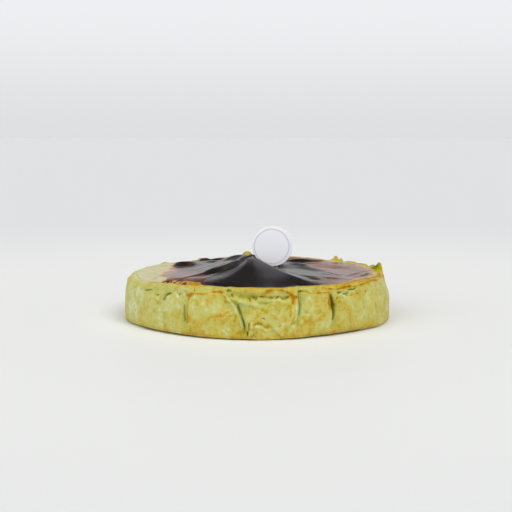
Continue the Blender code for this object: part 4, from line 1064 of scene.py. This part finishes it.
# ---- Nodes ----
class Tree:
    """Short calls for building a material's or the world's nodes."""

    def __init__(self, holder):
        holder.use_nodes = True
        self.tree = holder.node_tree
        self.tree.nodes.clear()

    def node(self, kind, inputs=None, **settings):
        item = self.tree.nodes.new("ShaderNode" + kind)
        for key, value in settings.items():
            setattr(item, key, value)
        for key, value in (inputs or {}).items():
            self.put(item.inputs[key], value)
        return item

    def put(self, socket, value):
        if isinstance(value, bpy.types.NodeSocket):
            self.tree.links.new(value, socket)
        else:
            socket.default_value = value

    def mask(self, name):
        return self.node("Attribute", attribute_name=name).outputs["Fac"]

    def noise(self, vector, scale, detail=3.0, roughness=0.55):
        inputs = {"Vector": vector, "Scale": scale, "Detail": detail, "Roughness": roughness}
        return self.node("TexNoise", inputs).outputs["Fac"]

    def math(self, operation, a, b=0.0):
        item = self.node("Math", operation=operation)
        self.put(item.inputs[0], a)
        self.put(item.inputs[1], b)
        return item.outputs[0]

    def plus(self, a, b):
        return self.math("ADD", a, b)

    def minus(self, a, b):
        return self.math("SUBTRACT", a, b)

    def times(self, a, b):
        return self.math("MULTIPLY", a, b)

    def remap(self, value, low, high, to_low=0.0, to_high=1.0):
        inputs = {"Value": value, "From Min": low, "From Max": high, "To Min": to_low, "To Max": to_high}
        return self.node("MapRange", inputs, interpolation_type="SMOOTHSTEP").outputs["Result"]

    def mix(self, factor, a, b):
        item = self.node("Mix", data_type="RGBA")
        self.put(item.inputs[0], factor)
        self.put(item.inputs[6], a if isinstance(a, bpy.types.NodeSocket) else (*a, 1.0))
        self.put(item.inputs[7], b if isinstance(b, bpy.types.NodeSocket) else (*b, 1.0))
        return item.outputs[2]

    def ramp(self, factor, stops):
        item = self.node("ValToRGB", {"Fac": factor})
        elements = item.color_ramp.elements
        while len(elements) < len(stops):
            elements.new(0.5)
        for element, (position, colour) in zip(elements, stops):
            element.position = position
            element.color = (*colour, 1.0)
        return item.outputs["Color"]

    def bump(self, height, distance, strength):
        inputs = {"Height": height, "Distance": distance, "Strength": strength}
        return self.node("Bump", inputs).outputs["Normal"]

    def surface(self, shader, kind="OutputMaterial"):
        self.tree.links.new(shader, self.node(kind).inputs["Surface"])


# ---- Materials ----
CREAM = (0.575, 0.54, 0.36)
# Painted shade for the creases, holes and folds, in the crumb's dark olive.
CREASE_SHADE_COLOUR = (0.155, 0.145, 0.004)
# grey of the painted sheen on the black skin
SHEEN_GREY = (0.085, 0.085, 0.086)
GREEN = (0.38, 0.43, 0.11)
YELLOW = (0.40, 0.31, 0.004)
BAKE_STOPS = (
    (0.00, (0.60, 0.61, 0.34)), (0.10, (0.57, 0.58, 0.28)), (0.22, (0.52, 0.52, 0.19)),
    (0.40, (0.50, 0.475, 0.125)), (0.55, (0.51, 0.43, 0.078)), (0.70, (0.49, 0.355, 0.048)),
    (0.84, (0.46, 0.265, 0.020)), (1.00, (0.40, 0.155, 0.004)),
)
BURN_STOPS = (
    (0.0, (0.52, 0.44, 0.22)), (0.12, (0.50, 0.34, 0.18)), (0.24, (0.38, 0.20, 0.11)),
    (0.38, (0.20, 0.080, 0.043)), (0.50, (0.095, 0.036, 0.020)), (0.72, (0.035, 0.020, 0.017)),
    (1.0, (0.010, 0.008, 0.008)),
)
# Patterns in the colour and the surface: a larger scale is finer.
BLOTCH_SCALE = 150.0
STREAK_SCALE = 330.0
SPECKLE_SCALE = 520.0
GRIT_SCALE = 1300.0
RIPE_SCALE = 240.0

WOOD_STOPS = ((0.25, (0.42, 0.24, 0.09)), (0.5, (0.60, 0.40, 0.18)), (0.75, (0.72, 0.53, 0.28)))
CARD = (0.88, 0.885, 0.93)
CARD_BRIGHT = (0.92, 0.925, 0.965)
LILAC = (0.62, 0.54, 0.70)


def cheesecake_material():
    material = bpy.data.materials.new("cheesecake_baked")
    t = Tree(material)
    place = t.node("TexCoord").outputs["Object"]
    upright_place = t.node("Mapping", {"Vector": place, "Scale": (1.0, 1.0, 0.3)}).outputs["Vector"]
    blotch = t.noise(place, BLOTCH_SCALE)
    speckle = t.noise(place, SPECKLE_SCALE, 3.0, 0.6)
    streak = t.noise(upright_place, STREAK_SCALE, 3.0, 0.6)
    grit = t.noise(place, GRIT_SCALE, 2.0)

    bake = t.mask("bake")
    for share, pattern in ((1.05, blotch), (0.70, speckle), (0.45, streak)):
        bake = t.plus(bake, t.times(t.minus(pattern, 0.5), share))
    colour = t.ramp(bake, BAKE_STOPS)
    colour = t.mix(t.mask("green"), colour, GREEN)
    ripe = t.times(t.remap(t.noise(place, RIPE_SCALE, 2.0), 0.52, 0.70), 0.5)
    colour = t.mix(t.math("MAXIMUM", t.times(t.mask("yellow"), 0.92), ripe), colour, YELLOW)
    # painted shade in the creases, holes and folds
    colour = t.mix(t.remap(t.mask("crease_shade"), 0.15, 1.0, 0.0, 0.88), colour, CREASE_SHADE_COLOUR)
    colour = t.mix(t.mask("cream"), colour, CREAM)
    burn = t.plus(t.mask("burn"), t.times(t.minus(blotch, 0.5), 0.22))
    burnt = t.ramp(burn, BURN_STOPS)
    # painted sheen: grey over the black skin round the peak
    burnt = t.mix(t.times(t.mask("painted_sheen"), 0.7), burnt, SHEEN_GREY)
    colour = t.mix(t.remap(burn, 0.03, 0.12), colour, burnt)

    gloss = t.remap(t.mask("burn"), 0.05, 0.40)
    roughness = t.times(speckle, t.remap(gloss, 0.0, 1.0, 0.14, 0.05))
    roughness = t.plus(roughness, t.remap(gloss, 0.0, 1.0, 0.42, 0.20))
    plainness = t.remap(gloss, 0.0, 1.0, 1.0, 0.03)
    sheen = t.remap(t.mask("dull"), 0.0, 1.0, 1.0, 0.03)
    pits = t.times(t.remap(grit, 0.30, 0.62), 0.3)
    relief = t.plus(t.times(speckle, 0.7), pits)
    bump = t.bump(t.times(relief, plainness), 0.0006, 0.6)
    shader = t.node("BsdfPrincipled", {
        "Base Color": colour, "Roughness": roughness, "Normal": bump,
        "Specular IOR Level": t.times(t.remap(gloss, 0.0, 1.0, 0.22, 0.5), sheen),
        "IOR": t.remap(gloss, 0.0, 1.0, 1.45, 1.13),
        "Subsurface Weight": 0.12, "Subsurface Scale": 0.0015, "Subsurface Radius": (1.0, 0.8, 0.35),
    })
    t.surface(shader.outputs["BSDF"])
    return material


def card_material():
    material = bpy.data.materials.new("tag_card_white")
    t = Tree(material)
    place = t.node("TexCoord").outputs["Object"]
    centre = (RING_CENTRE[0] * MM, 0.0, RING_CENTRE[1] * MM)
    offset = t.node("VectorMath", {0: place, 1: centre}, operation="SUBTRACT").outputs[0]
    split = t.node("SeparateXYZ", {"Vector": offset})
    flat = t.node("CombineXYZ", {"X": split.outputs["X"], "Z": split.outputs["Z"]}).outputs["Vector"]
    away = t.node("VectorMath", {0: flat}, operation="LENGTH").outputs["Value"]
    off_ring = t.math("ABSOLUTE", t.minus(away, RING_RADIUS * MM))
    ring_factor = t.remap(off_ring, RING_WIDTH * MM * 0.35, RING_WIDTH * MM * 0.65, 1.0, 0.0)
    fibre = t.noise(place, 900.0, 4.0)
    face = t.mix(t.times(ring_factor, 0.75), t.mix(fibre, CARD, CARD_BRIGHT), LILAC)
    shader = t.node("BsdfPrincipled", {
        "Base Color": face, "Roughness": 0.42, "Normal": t.bump(fibre, 0.00003, 0.4), "IOR": 1.45,
    })
    t.surface(shader.outputs["BSDF"])
    return material


def wood_material():
    material = bpy.data.materials.new("pick_wood_grain")
    t = Tree(material)
    place = t.node("TexCoord").outputs["Object"]
    along = t.node("Mapping", {"Vector": place, "Scale": (1.0, 1.0, 0.06)}).outputs["Vector"]
    grain = t.noise(along, 1600.0, 4.0, 0.6)
    colour = t.ramp(grain, WOOD_STOPS)
    shader = t.node("BsdfPrincipled", {
        "Base Color": colour, "Roughness": 0.6, "Normal": t.bump(grain, 0.0001, 0.5), "IOR": 1.45,
    })
    t.surface(shader.outputs["BSDF"])
    return material


# ---- Pieces ----
RING_CENTRE = (9.6, 47.5)       # the printed ring sits a little off the tag's middle
RING_RADIUS = 11.3
RING_WIDTH = 0.7


def link(item):
    bpy.context.collection.objects.link(item)
    return item


def cake_faces(rows, count):
    """Quads between the rings, and triangles from them to the peak and to the middle of the base."""
    near = np.arange(count)
    far = (near + 1) % count
    faces = []
    for row in range(rows - 1):
        low, high = row * count, (row + 1) * count
        faces += np.stack([low + near, low + far, high + far, high + near], axis=-1).tolist()
    last = (rows - 1) * count
    tip, base = rows * count, rows * count + 1
    faces += np.stack([last + near, last + far, np.full(count, tip)], axis=-1).tolist()
    return faces + np.stack([far, near, np.full(count, base)], axis=-1).tolist()


def make_cake():
    rings, bearings, crest = cake_rings()
    tip_height = float(top_height(np.array([PEAK[0]]), np.array([PEAK[1]]))[0])
    centres = [[PEAK[0], PEAK[1], tip_height], [0.0, 0.0, 0.0]]
    points = np.concatenate([rings.reshape(-1, 3), centres]) * MM
    mesh = bpy.data.meshes.new("cake_surface")
    mesh.from_pydata(points.tolist(), [], cake_faces(*rings.shape[:2]))
    for name, values in masks(rings, bearings, crest).items():
        ends = [values[-1].mean(), 0.0]
        layer = mesh.attributes.new(name, "FLOAT", "POINT")
        layer.data.foreach_set("value", np.concatenate([values.reshape(-1), ends]).astype(np.float32))
    mesh.shade_smooth()
    mesh.materials.append(cheesecake_material())
    cake = link(bpy.data.objects.new("cheesecake_surface", mesh))
    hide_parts("cake")
    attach(cake, "root")


def dress_tag_and_pick():
    for node, finish in (("topper_disc", card_material()), ("topper_pick", wood_material())):
        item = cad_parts[node]
        item.data.materials.clear()
        item.data.materials.append(finish)


# ---- Camera, stage and light ----
def make_camera():
    data = bpy.data.cameras.new("camera")
    data.sensor_width = SENSOR
    data.lens = SENSOR * FOCAL_PIXELS / IMAGE_PIXELS
    camera = link(bpy.data.objects.new("camera", data))
    camera.location = Vector(CAMERA_PLACE) * MM
    camera.rotation_euler = (np.radians(90.0 - CAMERA_PITCH), 0.0, 0.0)
    bpy.context.scene.camera = camera


FLOOR_HALF = 8.0                # metres
# The floor's colour holds a painted pool of light: lighter near the middle, fading darker farther out.
FLOOR_FADE = (0.22, 0.75)       # from near to far, in metres from the middle
FLOOR_NEAR = (0.775, 0.785, 0.775)
FLOOR_FAR = (0.70, 0.706, 0.715)
# The world's colours, and the heights (0 horizon, 1 zenith) between which each one takes over.
BACKDROP_LOW = (0.73, 0.74, 0.755)
BACKDROP_HIGH = (0.85, 0.862, 0.885)
BACKDROP_FADE = (-0.02, 0.10)
BAND = (1.50, 1.50, 1.51)
BAND_FADE = (0.10, 0.15)
OVERHEAD = (0.05, 0.05, 0.052)
OVERHEAD_FADE = (0.20, 0.38)
SUNS = (
    # name, bearing, elevation, strength, angle, colour
    ("key", 40.0, 48.0, 1.55, 35.0, (1.0, 0.99, 0.97)),
    ("fill", -58.0, 40.0, 1.10, 50.0, (0.98, 0.99, 1.0)),
    ("top", 10.0, 84.0, 1.1, 60.0, (1.0, 1.0, 1.0)),
)


def make_floor():
    mesh = bpy.data.meshes.new("floor")
    corners = [(x * FLOOR_HALF, y * FLOOR_HALF, 0.0) for x, y in ((-1, -1), (1, -1), (1, 1), (-1, 1))]
    mesh.from_pydata(corners, [], [(0, 1, 2, 3)])
    material = bpy.data.materials.new("floor_pale")
    t = Tree(material)
    place = t.node("TexCoord").outputs["Object"]
    away = t.node("VectorMath", {0: place}, operation="LENGTH").outputs["Value"]
    # painted pool of light: lighter near the middle
    colour = t.mix(t.remap(away, *FLOOR_FADE), FLOOR_NEAR, FLOOR_FAR)
    shader = t.node("BsdfPrincipled", {"Base Color": colour, "Roughness": 0.55, "Specular IOR Level": 0.2})
    t.surface(shader.outputs["BSDF"])
    mesh.materials.append(material)
    link(bpy.data.objects.new("floor", mesh))


def make_world():
    """A bright low backdrop all round and a darker ceiling, as in a small studio."""
    world = bpy.data.worlds.new("studio")
    bpy.context.scene.world = world
    t = Tree(world)
    direction = t.node("TexCoord").outputs["Generated"]
    height = t.node("SeparateXYZ", {"Vector": direction}).outputs["Z"]
    backdrop = t.mix(t.remap(height, *BACKDROP_FADE), BACKDROP_LOW, BACKDROP_HIGH)
    backdrop = t.mix(t.remap(height, *BAND_FADE), backdrop, BAND)
    colour = t.mix(t.remap(height, *OVERHEAD_FADE), backdrop, OVERHEAD)
    t.surface(t.node("Background", {"Color": colour, "Strength": 1.0}).outputs["Background"], "OutputWorld")


def make_sun(name, bearing, elevation, strength, angle, colour):
    data = bpy.data.lights.new(name, "SUN")
    data.energy = strength
    data.angle = np.radians(angle)
    data.color = colour
    sun = link(bpy.data.objects.new(name, data))
    b, e = np.radians(bearing), np.radians(elevation)
    towards = Vector((np.sin(b) * np.cos(e), -np.cos(b) * np.cos(e), np.sin(e)))
    sun.rotation_euler = towards.to_track_quat("Z", "Y").to_euler()


def set_colour_view():
    scene = bpy.context.scene
    scene.view_settings.view_transform = "Standard"
    scene.view_settings.look = "None"


make_camera()
make_floor()
make_world()
for settings in SUNS:
    make_sun(*settings)
set_colour_view()
make_cake()
dress_tag_and_pick()
